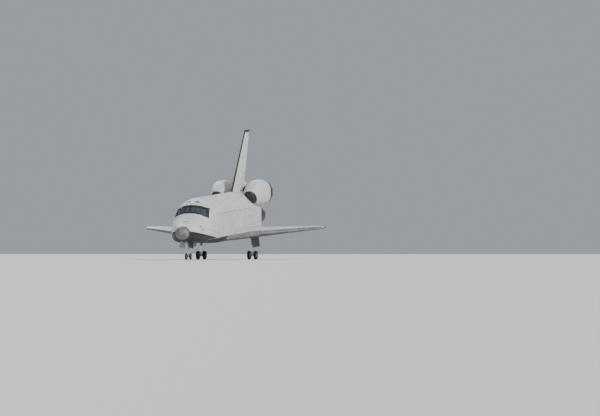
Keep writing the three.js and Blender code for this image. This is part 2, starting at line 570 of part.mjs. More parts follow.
for (const [tag, hand] of sidesOfCraft) {
  const region = loft([rudder.low, rudder.high].map((height) => {
    const radius = finHalf(height);
    const arc = Array.from({ length: 6 }, (_, i) => (rudder.nose - (i * (rudder.nose - 90)) / 5) * degree);
    const front = arc.map((angle) => [Math.cos(angle) * radius * rudder.stretch, Math.sin(angle) * radius]);
    const inner = radius * rudder.carrier * 0.5;
    const last = front[0];
    return [[0, 0.16], [last[0] * 0.6, inner], ...front, [radius * 0.2, radius], [150, radius + 1], [150, 0.16]]
      .map(([back, side]) => at(finHinge(height) + back, hand * side, height));
  }));
  const full = loft([rudder.low, rudder.high].map((height) => {
    const half = finHalf(height);
    const back = finTrail(height) - finHinge(height);
    return [[-2 * half, half], [0, half], [back, half * 0.07], [back, 0], [-2 * half, 0]]
      .map(([behind, side]) => at(finHinge(height) + behind, hand * side, height));
  }));
  add("rudder_panel_" + tag, full.intersect(region)
    .subtract(rudderCone(rudder.cutLow - 6, rudder.high + 6, rudder.carrier, rudder.bore)), "whiteTile");
}
add("drag_chute_housing", without(
  bar(at(1484, 0, 527), at(1562, 0, 535), 17, 15, 20), [finRoom, aftCut, bellRoom]), "whiteTile");

// Body flap below the engines
const flapOutline = [
  ...Array.from({ length: 13 }, (_, i) => (90 + 15 * i) * degree)
    .map((angle) => [Math.cos(angle) * flap.nose, Math.sin(angle) * flap.nose]),
  [flap.chord, -flap.edge - 1.5], [flap.chord, flap.edge - 1.5],
];
const flapWhole = loft([-flap.halfSpan, flap.halfSpan].map((side) =>
  flapOutline.map(([back, up]) => at(flap.hinge + back, side, flap.height + up))));
add("body_flap", without(flapWhole, flapLugs.map(([from, to]) =>
  block([flap.hinge - 12, flap.hinge + 6.5], [from - pinGap, to + pinGap], [250, 320]))), "blackTile");

// Wheels: two tyres on the rims of one axle, which turns in the foot of its leg
function tyreProfile(radius, width) {
  const [rim, half] = [radius * 0.5, width / 2];
  return [
    [rim, -half * 0.7], [radius * 0.74, -half], [radius * 0.92, -half * 0.88], [radius, -half * 0.45],
    [radius, half * 0.45], [radius * 0.92, half * 0.88], [radius * 0.74, half], [rim, half * 0.7],
    [rim, -half * 0.7],
  ];
}
function axleProfile(radius, width, spread, axle, foot) {
  const rim = radius * 0.5 - seatGap;
  const middle = spread / 2;
  const [near, far] = [middle - width * 0.31, middle + width * 0.31];
  const half = [
    [axle, foot + pinGap], [axle * 1.8, foot + pinGap], [axle * 1.8, near + 0.6], [rim * 0.84, near],
    [rim, near], [rim, far], [rim * 0.84, far], [rim * 0.78, far - 1.4], [axle * 1.6, far - 1.4], [0, far],
  ];
  return [...half.map(([r, along]) => [r, -along]).reverse(), ...half];
}
const wheelSides = 16;
const flatReach = Math.cos(Math.PI / wheelSides); // from the axle to the middle of a flat of the tyre
const axleHeight = (gear) => gear.ground + gear.tyre * flatReach;
function addWheels(axleName, tyreNames, gear, axle, foot, side) {
  const centre = at(gear.station, side, axleHeight(gear));
  const flatDown = Math.PI / wheelSides + parkedPitch;
  const toPort = new THREE.Vector3(0, 1, 0);
  add(axleName, turned(axleProfile(gear.tyre, gear.width, gear.spread, axle, foot), centre, toPort, wheelSides, flatDown), "metal");
  tyreNames.forEach((name, i) => {
    const offset = (i === 0 ? 1 : -1) * (gear.spread / 2);
    const place = centre.clone().addScaledVector(toPort, offset * inch);
    add(name, turned(tyreProfile(gear.tyre, gear.width), place, toPort, wheelSides, flatDown), "rubber");
  });
}

// Main legs: a cylinder leaning back from the well, a drag brace and a side brace
const mainAxle = axleHeight(mainGear);
const rotate = { main: 3, nose: 1.8 }; // axle radii
const boreSides = 16;
const boreRadius = (axle) => (axle + pinGap) / Math.cos(Math.PI / boreSides);
const foot = { main: 7, nose: 4.5 }; // half widths of the axle housings
for (const [tag, hand] of sidesOfCraft) {
  const side = hand * mainGear.side;
  const { station } = mainGear;
  const bore = bar(at(station, side - 10, mainAxle), at(station, side + 10, mainAxle),
    boreRadius(rotate.main), boreRadius(rotate.main), boreSides);
  const roof = mainWell.roof - seatGap;
  add("main_leg_" + tag, joined([
    bar(at(station + 6, side, roof - 1), at(station + 2, side, 232), 7.5, 7, 12),
    bar(at(station + 2, side, 234), at(station, side, mainAxle), 4.6, 4.6, 12),
    bar(at(station, side - foot.main, mainAxle), at(station, side + foot.main, mainAxle), 6, 6, boreSides),
    block([station - 2, station + 14], [side - 20, side + 20], [roof - 7, roof]),
    bar(at(station - 92, side, roof - 5), at(station + 1, side, 244), 3, 3, 8),
    block([station - 100, station - 86], [side - 8, side + 8], [roof - 9, roof]),
    bar(at(station + 4, side - 18, roof - 4), at(station + 3, side - 3, 248), 2.6, 2.6, 8),
    bar(at(station + 4, side + 18, roof - 4), at(station + 3, side + 3, 248), 2.6, 2.6, 8),
    block([station + 4, station + 9], [side - 2, side + 2], [197, 240]),
    bar(at(station, side, mainAxle + 6), at(station + 12, side, 208), 1.8, 1.8, 6),
    bar(at(station + 12, side, 208), at(station + 4, side, 236), 1.8, 1.8, 6),
  ]).subtract(bore), "gearWhite");
  addWheels("main_wheels_" + tag, ["outer", "inner"].map((place) =>
    `main_tyre_${hand > 0 ? place : place === "outer" ? "inner" : "outer"}_${tag}`),
    mainGear, rotate.main, foot.main, side);
  // The door hangs from the outer edge of its well
  const doorTop = 281;
  add("main_gear_door_" + tag, loft([mainWell.front + 1, mainWell.back - 1].map((station) => [
    [mainWell.outer - 2.4, doorTop + 8], [mainWell.outer - seatGap, doorTop + 8],
    [mainWell.outer - seatGap, doorTop - 7], [mainWell.outer + 4, 226],
    [mainWell.outer + 2, 226], [mainWell.outer - 2.4, doorTop - 7],
  ].map(([out, height]) => at(station, hand * out, height)))), "blackTile");
}

// Nose leg: a fixed cylinder, and the part below it that steers. Its line is plumb as the craft stands,
// so the load on the two tyres doesn't turn the steering.
const noseAxle = axleHeight(noseGear);
const noseLeg = { radius: 5, steerTop: 246, braceAt: 256, sleeve: 238 };
const noseRoof = noseWell.roof - seatGap;
const onLeg = (height, back = 0) =>
  at(noseGear.station + (height - noseAxle) * Math.tan(parkedPitch) + back, 0, height);
const mountAt = noseGear.station + (noseRoof - noseAxle) * Math.tan(parkedPitch);
add("nose_leg", joined([
  bar(onLeg(noseLeg.steerTop + pinGap), onLeg(noseRoof - 0.5), noseLeg.radius, noseLeg.radius, 20),
  block([mountAt - 6, mountAt + 6], [-18, 18], [noseRoof - 7, noseRoof]),
  bar(onLeg(noseLeg.braceAt, -1), at(noseGear.station - 66, -9, noseRoof - 3), 2.2, 2.2, 10),
  bar(onLeg(noseLeg.braceAt, -1), at(noseGear.station - 66, 9, noseRoof - 3), 2.2, 2.2, 10),
  block([noseGear.station - 72, noseGear.station - 62], [-14, 14], [noseRoof - 6, noseRoof]),
]), "gearWhite");
add("nose_leg_steering", joined([
  bar(onLeg(noseAxle), onLeg(noseLeg.steerTop), 3.4, 3.4, 16),
  bar(onLeg(noseLeg.sleeve), onLeg(noseLeg.steerTop), noseLeg.radius, noseLeg.radius, 16),
  bar(at(noseGear.station, -foot.nose, noseAxle), at(noseGear.station, foot.nose, noseAxle), 4, 4, 16),
  bar(onLeg(noseAxle + 3), onLeg(230, 8), 1.2, 1.2, 8),
  bar(onLeg(230, 8), onLeg(242, 2), 1.2, 1.2, 8),
]).subtract(bar(at(noseGear.station, -6, noseAxle), at(noseGear.station, 6, noseAxle),
  boreRadius(rotate.nose), boreRadius(rotate.nose), boreSides)), "gearWhite");
addWheels("nose_wheels", ["nose_tyre_left", "nose_tyre_right"], noseGear, rotate.nose, foot.nose, 0);
for (const [tag, hand] of sidesOfCraft) {
  const doorRow = (station) => {
    const belly = rowAt(noseRows, station)[4];
    return [
      [noseWell.half - 2.2, belly + 6], [noseWell.half - seatGap, belly + 6],
      [noseWell.half - seatGap, belly - 1], [noseWell.half + 4, belly - 28],
      [noseWell.half + 2.2, belly - 28], [noseWell.half - 2.2, belly - 1],
    ].map(([out, height]) => at(station, hand * out, height));
  };
  add("nose_gear_door_" + tag, loft([noseWell.front + 1, 340, noseWell.back - 1].map(doorRow)), "blackTile");
}

orbiter.rotation.y = parkedPitch;
const extent = new THREE.Box3().setFromObject(orbiter, true);
orbiter.position.set(-(extent.min.x + extent.max.x) / 2, 0, -extent.min.z);
const spaceShuttle = new THREE.Group();
spaceShuttle.add(orbiter);

export default spaceShuttle;
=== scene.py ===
import math
import bpy
import bmesh
from mathutils import Matrix, Vector
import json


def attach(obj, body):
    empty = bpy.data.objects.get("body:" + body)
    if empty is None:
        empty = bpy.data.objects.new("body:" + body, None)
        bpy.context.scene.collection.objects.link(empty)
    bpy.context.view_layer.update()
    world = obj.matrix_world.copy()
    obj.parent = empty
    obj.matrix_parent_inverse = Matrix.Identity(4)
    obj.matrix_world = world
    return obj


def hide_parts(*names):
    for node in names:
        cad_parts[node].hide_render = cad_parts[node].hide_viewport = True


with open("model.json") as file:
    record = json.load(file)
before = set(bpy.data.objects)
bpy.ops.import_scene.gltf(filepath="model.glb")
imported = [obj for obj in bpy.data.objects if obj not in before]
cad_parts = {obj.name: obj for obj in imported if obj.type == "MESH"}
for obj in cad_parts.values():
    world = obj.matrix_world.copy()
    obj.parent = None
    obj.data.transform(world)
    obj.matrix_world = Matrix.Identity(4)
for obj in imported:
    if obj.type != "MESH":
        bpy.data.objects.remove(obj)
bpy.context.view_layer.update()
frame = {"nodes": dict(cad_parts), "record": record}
nodes = frame["nodes"]
record = frame["record"]
bodyOf = {node: body for body, members in record["behaviour"]["bodies"].items() for node in members}
print("stage: frame loaded,", len(nodes), "nodes")

# The craft is drawn in its own stations, in inches: station grows aft, side to port, height up.
# It stands nose down on its wheels, so two wheel axles give its turn and place.
inch = 0.0254
hands = {"left": 1, "right": -1}
craft = {"middleStation": 970, "mainStation": 1172, "noseStation": 377, "mainAxle": 180.8225,
         "noseAxle": 216.3926}
jointAt = {joint["name"]: Vector(joint["pos_m"]) for joint in record["behaviour"]["joints"]}


def unturned(station, side, height):
    return Vector(((craft["middleStation"] - station) * inch, side * inch, height * inch))


mainFlat = unturned(craft["mainStation"], 0, craft["mainAxle"])
noseFlat = unturned(craft["noseStation"], 0, craft["noseAxle"])
mainHub = Vector((jointAt["main_wheels_left"].x, 0, jointAt["main_wheels_left"].z))
noseHub = Vector((jointAt["nose_wheels"].x, 0, jointAt["nose_wheels"].z))
flatLine, parkedLine = noseFlat - mainFlat, noseHub - mainHub
parkedPitch = math.atan2(flatLine.z, flatLine.x) - math.atan2(parkedLine.z, parkedLine.x)
turnCraft = Matrix.Rotation(parkedPitch, 4, "Y")
placeCraft = Matrix.Translation(mainHub - turnCraft @ mainFlat) @ turnCraft


def at(station, side, height):
    return placeCraft @ unturned(station, side, height)


print("stage: craft placed, nose down by", round(math.degrees(parkedPitch), 3), "degrees")


# A shader value that takes part in plain arithmetic: each sign adds one Math node to its board
class Value:
    def __init__(self, board, socket):
        self.board = board
        self.socket = socket

    def __add__(self, other):
        return self.board.calc("ADD", self, other)

    def __sub__(self, other):
        return self.board.calc("SUBTRACT", self, other)

    def __rsub__(self, other):
        return self.board.calc("SUBTRACT", other, self)

    def __mul__(self, other):
        return self.board.calc("MULTIPLY", self, other)

    def __rtruediv__(self, other):
        return self.board.calc("DIVIDE", other, self)

    def __pow__(self, other):
        return self.board.calc("POWER", self, other)

    def __abs__(self):
        return self.board.calc("ABSOLUTE", self)

    def __lt__(self, other):
        return self.board.calc("LESS_THAN", self, other)

    def __gt__(self, other):
        return self.board.calc("GREATER_THAN", self, other)

    def line(self, factor, start):
        return self.board.calc("MULTIPLY_ADD", self, factor, start)

    def parts(self):
        return list(self.board.values(self.board.add("ShaderNodeSeparateXYZ", {0: self})).values())


# Adds shader or geometry nodes to one tree and links them
class Board:
    def __init__(self, tree):
        self.tree = tree

    def feed(self, socket, value):
        value = getattr(value, "socket", value)
        if isinstance(value, bpy.types.NodeSocket):
            self.tree.links.new(value, socket)
        else:
            socket.default_value = value

    def add(self, kind, inputs=None, **settings):
        node = self.tree.nodes.new(kind)
        for name, value in settings.items():
            setattr(node, name, value)
        for key, value in (inputs or {}).items():
            self.feed(node.inputs[key], value)
        return node

    def values(self, node):
        return {socket.name: Value(self, socket) for socket in node.outputs}

    def made(self, kind, inputs, output=0, **settings):
        return Value(self, self.add(kind, inputs, **settings).outputs[output])

    def calc(self, operation, *values, clamp=False):
        return self.made("ShaderNodeMath", dict(enumerate(values)), operation=operation, use_clamp=clamp)

    def vector(self, operation, *values):
        return self.made("ShaderNodeVectorMath", dict(enumerate(values)), operation=operation)

    def mixed(self, factor, first, second, blend="MIX"):
        inputs = {0: factor, 6: first, 7: second}
        return self.made("ShaderNodeMix", inputs, 2, data_type="RGBA", blend_type=blend)

    def chosen(self, factor, first, second):
        return self.made("ShaderNodeMix", {0: factor, 2: first, 3: second})

    def between(self, value, low, high):
        inputs = {"Value": value, "From Min": low, "From Max": high}
        return self.made("ShaderNodeMapRange", inputs, "Result", interpolation_type="SMOOTHSTEP")

    def noise(self, vector, scale, detail=4.0, rough=0.55):
        inputs = {"Vector": vector, "Scale": scale, "Detail": detail, "Roughness": rough}
        return self.made("ShaderNodeTexNoise", inputs)

    def used(self, name, **inputs):
        node = self.add("ShaderNodeGroup", node_tree=groups[name])
        for label, value in inputs.items():
            self.feed(node.inputs[label.replace("_", " ")], value)
        return self.values(node)


def most(*masks):
    found = masks[0]
    for mask in masks[1:]:
        found = found.board.calc("MAXIMUM", found, mask)
    return found


# Makes a shader group with the name and the results of its builder
def newGroup(build, inputs, outputs):
    group = bpy.data.node_groups.new(build.__name__, "ShaderNodeTree")

    def newSocket(label, way):
        kind = "Vector" if label in ("Place", "Facing") else "Float"
        return group.interface.new_socket(label, in_out=way, socket_type="NodeSocket" + kind)

    for label, value in inputs.items():
        newSocket(label, "INPUT").default_value = value
    for label in outputs:
        newSocket(label, "OUTPUT")
    board = Board(group)
    results = build(board, board.values(board.add("NodeGroupInput")))
    out = board.add("NodeGroupOutput")
    for label, value in results.items():
        board.feed(out.inputs[label], value)
    groups[build.__name__] = group


# Where a point lies on the craft, in inches, so that patterns follow its own axes
def craftPlace(board, given):
    here = board.add("ShaderNodeTexCoord").outputs
    back = placeCraft.inverted().translation / inch
    turn = (0, -parkedPitch, 0)
    grown = board.vector("MULTIPLY", here["Object"], (1 / inch,) * 3)
    place = board.made("ShaderNodeMapping", {"Vector": grown, "Location": back, "Rotation": turn})
    facing = board.made("ShaderNodeMapping", {"Vector": here["Normal"], "Rotation": turn})
    forward, side, height = place.parts()
    return {"Place": place, "Facing": facing, "Station": craft["middleStation"] - forward, "Side": abs(side),
            "Height": height}


# Square tiles: a tone for each one and the joint between them, laid on whichever plane the skin faces
def tileGrid(board, given):
    place, facing = given["Place"].parts(), given["Facing"].parts()
    lying = abs(facing[2]) > 0.62
    ahead = abs(facing[0]) > abs(facing[1])
    along = board.chosen(lying, board.chosen(ahead, place[0], place[1]), place[0])
    up = board.chosen(lying, place[2], place[1])
    flat = board.made("ShaderNodeCombineXYZ", {0: along, 1: up})
    turned = {"Vector": flat, "Angle": given["Turn"]}
    spun = board.made("ShaderNodeVectorRotate", turned, rotation_type="Z_AXIS")
    cells = board.vector("DIVIDE", spun, given["Size"])
    whole = board.vector("FLOOR", cells)
    tone = board.made("ShaderNodeTexWhiteNoise", {"Vector": whole}, "Value", noise_dimensions="2D")
    across, upward, _ = board.vector("FRACTION", cells).parts()
    edges = [board.calc("MINIMUM", share, 1.0 - share) for share in (across, upward)]
    return {"Tone": tone, "Joint": 1.0 - board.between(board.calc("MINIMUM", *edges), 0.0, given["Joint"])}


# Marks of flight: streaks blown aft, blotches and fine speckle
def weather(board, given):
    place, width = given["Place"], 0.12
    size = board.made("ShaderNodeCombineXYZ", {0: width / given["Streak length"], 1: width, 2: width})
    streak = board.noise(board.vector("MULTIPLY", place, size), 1.0, 5.0, 0.6)
    return {"Streak": board.between(streak, 0.45, 0.75), "Speckle": board.noise(place, 1.4, 3.0, 0.7),
            "Blotch": board.between(board.noise(place, 0.018), 0.42, 0.68)}


# Sewn blankets: pillows between rows of stitches, and seams between whole blankets
def quilt(board, given):
    spot = {label: given[label] for label in spotInputs}
    fine = board.used("tileGrid", **spot, Size=given["Stitch"], Joint=0.5)
    large = board.used("tileGrid", **spot, Size=34.0, Joint=0.012)
    return {"Pillow": 1.0 - fine["Joint"], "Seam": large["Joint"], "Tone": large["Tone"]}


groups = {}
spotInputs = {"Place": (0, 0, 0), "Facing": (0, 0, 1)}
newGroup(craftPlace, {}, ["Place", "Station", "Side", "Height", "Facing"])
newGroup(tileGrid, {**spotInputs, "Size": 6.0, "Turn": 0.0, "Joint": 0.03}, ["Tone", "Joint"])
newGroup(weather, {"Place": (0, 0, 0), "Streak length": 10.0}, ["Streak", "Blotch", "Speckle"])
newGroup(quilt, {**spotInputs, "Stitch": 2.0}, ["Pillow", "Seam", "Tone"])
print("stage: shader groups made")


def newMaterial(name):
    material = bpy.data.materials.new(name)
    material.use_nodes = True
    board = Board(material.node_tree)
    return material, board, board.used("craftPlace")


# The height, where given, feeds a bump of some strength and depth in metres
def painted(material, colour, roughness, metal=0.0, height=None, strength=0.0, depth=0.0):
    board, shader = Board(material.node_tree), material.node_tree.nodes["Principled BSDF"].inputs
    board.feed(shader["Base Color"], colour)
    board.feed(shader["Roughness"], roughness)
    board.feed(shader["Metallic"], metal)
    if height:
        bump = board.made("ShaderNodeBump", {"Height": height, "Strength": strength, "Distance": depth})
        board.feed(shader["Normal"], bump)
    return material


skinLooks = {
    "whiteTile": (0.64, 0.64, 0.62, 1), "blanket": (0.57, 0.57, 0.55, 1), "soot": (0.27, 0.24, 0.20, 1),
    "joint": (0.10, 0.10, 0.10, 1), "blackTile": (0.011, 0.011, 0.013, 1),
    "blackWorn": (0.040, 0.040, 0.043, 1), "blackStreak": (0.075, 0.072, 0.068, 1),
    "blackJoint": (0.004, 0.004, 0.004, 1), "dirt": 0.22, "tileJoint": 0.7, "blanketSeam": 0.7,
    "blackStreaks": 0.22, "blackJoints": 0.8, "blanketRoughness": 0.86, "whiteRoughness": 0.62,
    "blackRoughness": 0.42, "blackSize": 6.0, "whiteSize": 8.0, "stitch": 3.0, "streak": 14.0, "bump": 0.35,
    "bumpDepth": 0.004}


# One skin for the airframe: black glazed tiles where the mask is 1, white tiles and blankets elsewhere
def skinMaterial(name, blackMask, blanketMask=None, tileTurn=0.0):
    material, board, place = newMaterial(name)
    looks, spot = skinLooks, {label: place[label] for label in spotInputs}
    black = blackMask(place) if callable(blackMask) else blackMask
    blanket = blanketMask(place) if blanketMask else 0.0
    tiles = board.used("tileGrid", **spot, Size=looks["blackSize"], Turn=tileTurn, Joint=0.02)
    smallTiles = board.used("tileGrid", **spot, Size=looks["whiteSize"], Turn=0.0, Joint=0.012)
    cloth = board.used("quilt", **spot, Stitch=looks["stitch"])
    marks = board.used("weather", Place=spot["Place"], Streak_length=looks["streak"])
    # black tiles differ in tone, because worn ones are replaced one by one
    blackTone = board.mixed(tiles["Tone"] ** 3.5, looks["blackTile"], looks["blackWorn"])
    blackTone = board.mixed(marks["Streak"] * looks["blackStreaks"], blackTone, looks["blackStreak"])
    blackTone = board.mixed(tiles["Joint"] * looks["blackJoints"], blackTone, looks["blackJoint"])
    whiteTone = board.mixed(1.0, looks["whiteTile"], smallTiles["Tone"].line(0.10, 0.92), "MULTIPLY")
    whiteTone = board.mixed(smallTiles["Joint"] * looks["tileJoint"], whiteTone, looks["joint"])
    clothTone = board.mixed(1.0, looks["blanket"], cloth["Tone"].line(0.09, 0.94), "MULTIPLY")
    clothTone = board.mixed(cloth["Seam"] * looks["blanketSeam"], clothTone, looks["joint"])
    dirt = most(marks["Streak"], marks["Blotch"] * 0.6) * looks["dirt"]
    pale = board.mixed(dirt, board.mixed(blanket, whiteTone, clothTone), looks["soot"])
    paleRough = board.calc("MULTIPLY_ADD", blanket, looks["blanketRoughness"] - looks["whiteRoughness"],
                           looks["whiteRoughness"])
    rough = board.chosen(black, paleRough, tiles["Tone"].line(0.2, looks["blackRoughness"]))
    rough = board.calc("MULTIPLY_ADD", marks["Speckle"], 0.12, rough - 0.06, clamp=True)
    clothHeight = cloth["Pillow"] * 0.35 - cloth["Seam"]
    paleHeight = board.chosen(blanket, smallTiles["Joint"] * -1.0, clothHeight)
    height = board.chosen(black, paleHeight, tiles["Tone"] * 0.25 - tiles["Joint"])
    colour = board.mixed(black, pale, blackTone)
    return painted(material, colour, rough, 0.0, height, looks["bump"], looks["bumpDepth"])


# A broken line through rows of place and value, as a curve of straight parts
def lineThrough(value, rows):
    low, high = rows[0][0], rows[-1][0]
    heights = [row[1] for row in rows]
    base, reach = min(heights), max(heights) - min(heights)
    share = value.board.calc("DIVIDE", value - low, high - low, clamp=True)
    ramp = value.board.add("ShaderNodeValToRGB", {"Fac": share})
    stops = ramp.color_ramp.elements
    while len(stops) < len(rows):
        stops.new(0.5)
    for stop, (where, what) in zip(stops, rows):
        stop.position = (where - low) / (high - low)
        stop.color = ((what - base) / reach,) * 3 + (1,)
    return Value(value.board, ramp.outputs[0]).line(reach, base)


# The black parts of the body: below the chine, given as station and height, the ring behind the nose cap, the
# windshield's surround between two lines of side and height, and the cove at the heat shield
bodyPaint = {
    "chine": [(236, 352), (262, 349), (300, 342), (350, 333), (420, 322), (500, 311), (580, 300), (640, 290),
              (1524, 284)],
    "surroundLow": [(0, 430.5), (28, 429), (56, 422), (90, 405)],
    "surroundHigh": [(0, 471.5), (26, 470), (52, 464.5), (90, 448)], "surroundEnd": 171.5,
    "surroundLean": 0.2,
    "ringEnd": 268, "coveStart": 1497, "coveTop": 304.5, "blanketStart": 560}


def bodyBlack(place):
    station, side, height = place["Station"], place["Side"], place["Height"]
    below = height < lineThrough(station, bodyPaint["chine"])
    overLow = height > lineThrough(side, bodyPaint["surroundLow"])
    underHigh = height < lineThrough(side, bodyPaint["surroundHigh"])
    ahead = side + height * bodyPaint["surroundLean"] < bodyPaint["surroundEnd"]
    cove = (station > bodyPaint["coveStart"]) * (height < bodyPaint["coveTop"])
    return most(below, station < bodyPaint["ringEnd"], overLow * underHigh * ahead, cove)


def bodyBlanket(place):
    return place["Station"] > bodyPaint["blanketStart"]


# The wing's black parts: its underside in black tile and, as painted shade, its upright faces, so that the
# hinge gaps are dark; a band behind its carbon edge, whose lines run from one station and side to another;
# and its tail
wingPaint = {"edges": [(440, 88, 801, 162), (801, 162, 1035, 199), (1035, 199, 1312, 468.34)], "band": 16,
             "upright": 0.15, "tailStart": 1517, "tailSweep": 0.1773}


def wingBlack(place):
    station, side = place["Station"], place["Side"]
    behind = []
    for fromStation, fromSide, toStation, toSide in wingPaint["edges"]:
        run = Vector((toStation - fromStation, toSide - fromSide)).normalized()
        behind.append((station - fromStation) * run.y - (side - fromSide) * run.x)
    # the underside is black tile; upright faces are painted black too, as painted shade in the hinge gaps
    underAndGapShade = place["Facing"].parts()[2] < wingPaint["upright"]
    tail = station + side * wingPaint["tailSweep"] > wingPaint["tailStart"]
    return most(underAndGapShade, most(*behind) < wingPaint["band"], tail)


podPaint = {"frontEnd": 1338, "frontHeight": 478, "frontLean": 0.7, "thrusterSide": 112,
            "thrusterStart": 1519, "backStart": 1555}


def podBlack(place):
    station = place["Station"]
    lean = (place["Height"] - podPaint["frontHeight"]) * podPaint["frontLean"]
    front = station + lean < podPaint["frontEnd"]
    thrusters = (place["Side"] > podPaint["thrusterSide"]) * (station > podPaint["thrusterStart"])
    return most(front, thrusters, station > podPaint["backStart"])


finPaint = {"lead": 11, "trail": 7, "tip": 803}


def finBlack(place):
    station, rise = place["Station"], place["Height"] - fin["root"]
    fromLead = station - (rise + fin["rootLead"])
    fromTrail = rise.line(fin["trailSlope"], fin["rootTrail"]) - station
    return most(fromLead < finPaint["lead"], fromTrail < finPaint["trail"], place["Height"] > finPaint["tip"])


# Grey carbon of the nose cap and the wing's edge: a woven, slightly blotched coat
def carbonMaterial():
    material, board, place = newMaterial("carbonEdge")
    marks = board.used("weather", Place=place["Place"], Streak_length=6.0)
    fine = board.noise(place["Place"], 0.9, 6.0, 0.65)
    colour = board.mixed(marks["Blotch"], (0.14, 0.14, 0.145, 1), (0.22, 0.215, 0.205, 1))
    colour = board.mixed(marks["Streak"] * 0.45, colour, (0.36, 0.35, 0.32, 1))
    return painted(material, colour, fine.line(0.3, 0.35), 0.0, fine, 0.12, 0.002)


# Bell metal: rings of heat tint along the craft, with darker soot in blotches
def bellMaterial():
    material, board, place = newMaterial("bellMetal")
    marks = board.used("weather", Place=place["Place"], Streak_length=5.0)
    tint = board.add("ShaderNodeValToRGB", {"Fac": board.between(place["Station"], 1515.0, 1640.0)})
    stops = tint.color_ramp.elements
    stops[0].color, stops[1].color = (0.10, 0.085, 0.075, 1), (0.25, 0.20, 0.16, 1)
    for where, *tone in ((0.35, 0.16, 0.12, 0.09), (0.6, 0.11, 0.105, 0.12), (0.82, 0.20, 0.15, 0.115)):
        stops.new(where).color = (*tone, 1)
    colour = board.mixed(marks["Blotch"] * 0.5, tint.outputs[0], (0.05, 0.045, 0.04, 1))
    return painted(material, colour, marks["Speckle"].line(0.35, 0.22), 0.9, marks["Speckle"], 0.08, 0.002)


# Painted or bare metal with oily grime
def gearMaterial(name, base, grime, metal, roughness):
    material, board, place = newMaterial(name)
    coarse = board.between(board.noise(place["Place"], 0.12, 5.0, 0.6), 0.42, 0.72)
    fine = board.noise(place["Place"], 2.2, 3.0)
    colour = board.mixed(coarse * 0.5, base, grime)
    return painted(material, colour, fine.line(0.22, roughness), metal, fine, 0.1, 0.001)


def rubberMaterial():
    material, board, place = newMaterial("tyreRubber")
    dust = board.between(board.noise(place["Place"], 0.1, 5.0, 0.65), 0.4, 0.75)
    fine = board.noise(place["Place"], 3.5, 3.0, 0.7)
    colour = board.mixed(dust * 0.5, (0.013, 0.013, 0.014, 1), (0.075, 0.07, 0.062, 1))
    return painted(material, colour, fine.line(0.25, 0.62), 0.0, fine, 0.25, 0.0015)


def glassMaterial():
    material, board, place = newMaterial("paneGlass")
    film = board.noise(place["Place"], 0.06, 3.0)
    shader = material.node_tree.nodes["Principled BSDF"].inputs
    shader["Transmission Weight"].default_value = 0.75
    shader["IOR"].default_value = 1.46
    colour = board.mixed(film, (0.16, 0.20, 0.22, 1), (0.24, 0.28, 0.28, 1))
    return painted(material, colour, film.line(0.06, 0.02))


# A point on a circle round the origin
def polar(radius, degrees):
    turn = math.radians(degrees)
    return math.cos(turn) * radius, math.sin(turn) * radius


# The sides given for port, taken to the hand's side
def toward(hand, sides):
    return [hand * side for side in sides]


def bowed(value, power):
    return math.copysign(abs(value) ** power, value)


def partway(start, end, share):
    return start + (end - start) * share


def linked(name, data):
    piece = bpy.data.objects.new(name, data)
    bpy.context.scene.collection.objects.link(piece)
    return piece


def smooth(mesh, flat):
    mesh.shade_smooth()
    mesh.set_sharp_from_angle(angle=math.radians(flat))


def outward(mesh):
    shape = bmesh.new()
    shape.from_mesh(mesh)
    bmesh.ops.remove_doubles(shape, verts=shape.verts, dist=1e-5)
    bmesh.ops.recalc_face_normals(shape, faces=shape.faces)
    if shape.calc_volume(signed=True) < 0:
        bmesh.ops.reverse_faces(shape, faces=shape.faces)
    shape.to_mesh(mesh)
    shape.free()


def meshPiece(name, verts, faces, material=None, flat=35):
    mesh = bpy.data.meshes.new(name)
    mesh.from_pydata([tuple(v) for v in verts], [], faces)
    if material:
        mesh.materials.append(material)
    outward(mesh)
    smooth(mesh, flat)
    return linked(name, mesh)


def settled(piece, node):
    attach(piece, bodyOf[node])
    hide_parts(node)
    return piece


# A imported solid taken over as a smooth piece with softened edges, their width in metres
def dressed(node, look, edge):
    mesh = nodes[node].data.copy()
    mesh.name = node + "_piece"
    shape = bmesh.new()
    shape.from_mesh(mesh)
    bmesh.ops.remove_doubles(shape, verts=shape.verts, dist=2e-5)
    bmesh.ops.dissolve_limit(shape, angle_limit=math.radians(0.4), verts=shape.verts, edges=shape.edges)
    shape.to_mesh(mesh)
    shape.free()
    piece = linked(mesh.name, mesh)
    mesh.materials.clear()
    mesh.materials.append(materials[look])
    if edge:
        bevel = piece.modifiers.new("softEdge", "BEVEL")
        bevel.width, bevel.segments, bevel.limit_method = edge, 2, "ANGLE"
        bevel.angle_limit = math.radians(32)
        bevel.harden_normals = False
    smooth(mesh, 30)
    return settled(piece, node)


def joinedPiece(name, pieces):
    base = pieces[0]
    with bpy.context.temp_override(active_object=base, selected_editable_objects=pieces, object=base):
        bpy.ops.object.join()
    base.name = base.data.name = name
    return base


def copied(piece, name):
    return linked(name, piece.data.copy())


# Runs the modifiers of a piece into its mesh
def baked(piece, flat=35):
    graph = bpy.context.evaluated_depsgraph_get()
    mesh = bpy.data.meshes.new_from_object(piece.evaluated_get(graph), depsgraph=graph)
    mesh.name = piece.name
    piece.modifiers.clear()
    piece.data = mesh
    smooth(mesh, flat)
    return piece


def cut(piece, cutters, operation="DIFFERENCE"):
    for cutter in cutters:
        step = piece.modifiers.new("cut", "BOOLEAN")
        step.operation, step.solver, step.object = operation, "EXACT", cutter
        if cutter.data.materials:
            step.material_mode = "TRANSFER"
    baked(piece)
    for cutter in cutters:
        bpy.data.objects.remove(cutter)
    return piece


# A closed skin through rings that have like numbers of points
def loft(name, rings, material=None, flat=35):
    count = len(rings[0])
    verts = [point for ring in rings for point in ring]
    faces = [list(range(count)), list(range(len(verts) - count, len(verts)))[::-1]]
    for i in range(len(rings) - 1):
        for j in range(count):
            a, b = i * count + j, i * count + (j + 1) % count
            faces.append([a, b, b + count, a + count])
    return meshPiece(name, verts, faces, material, flat)


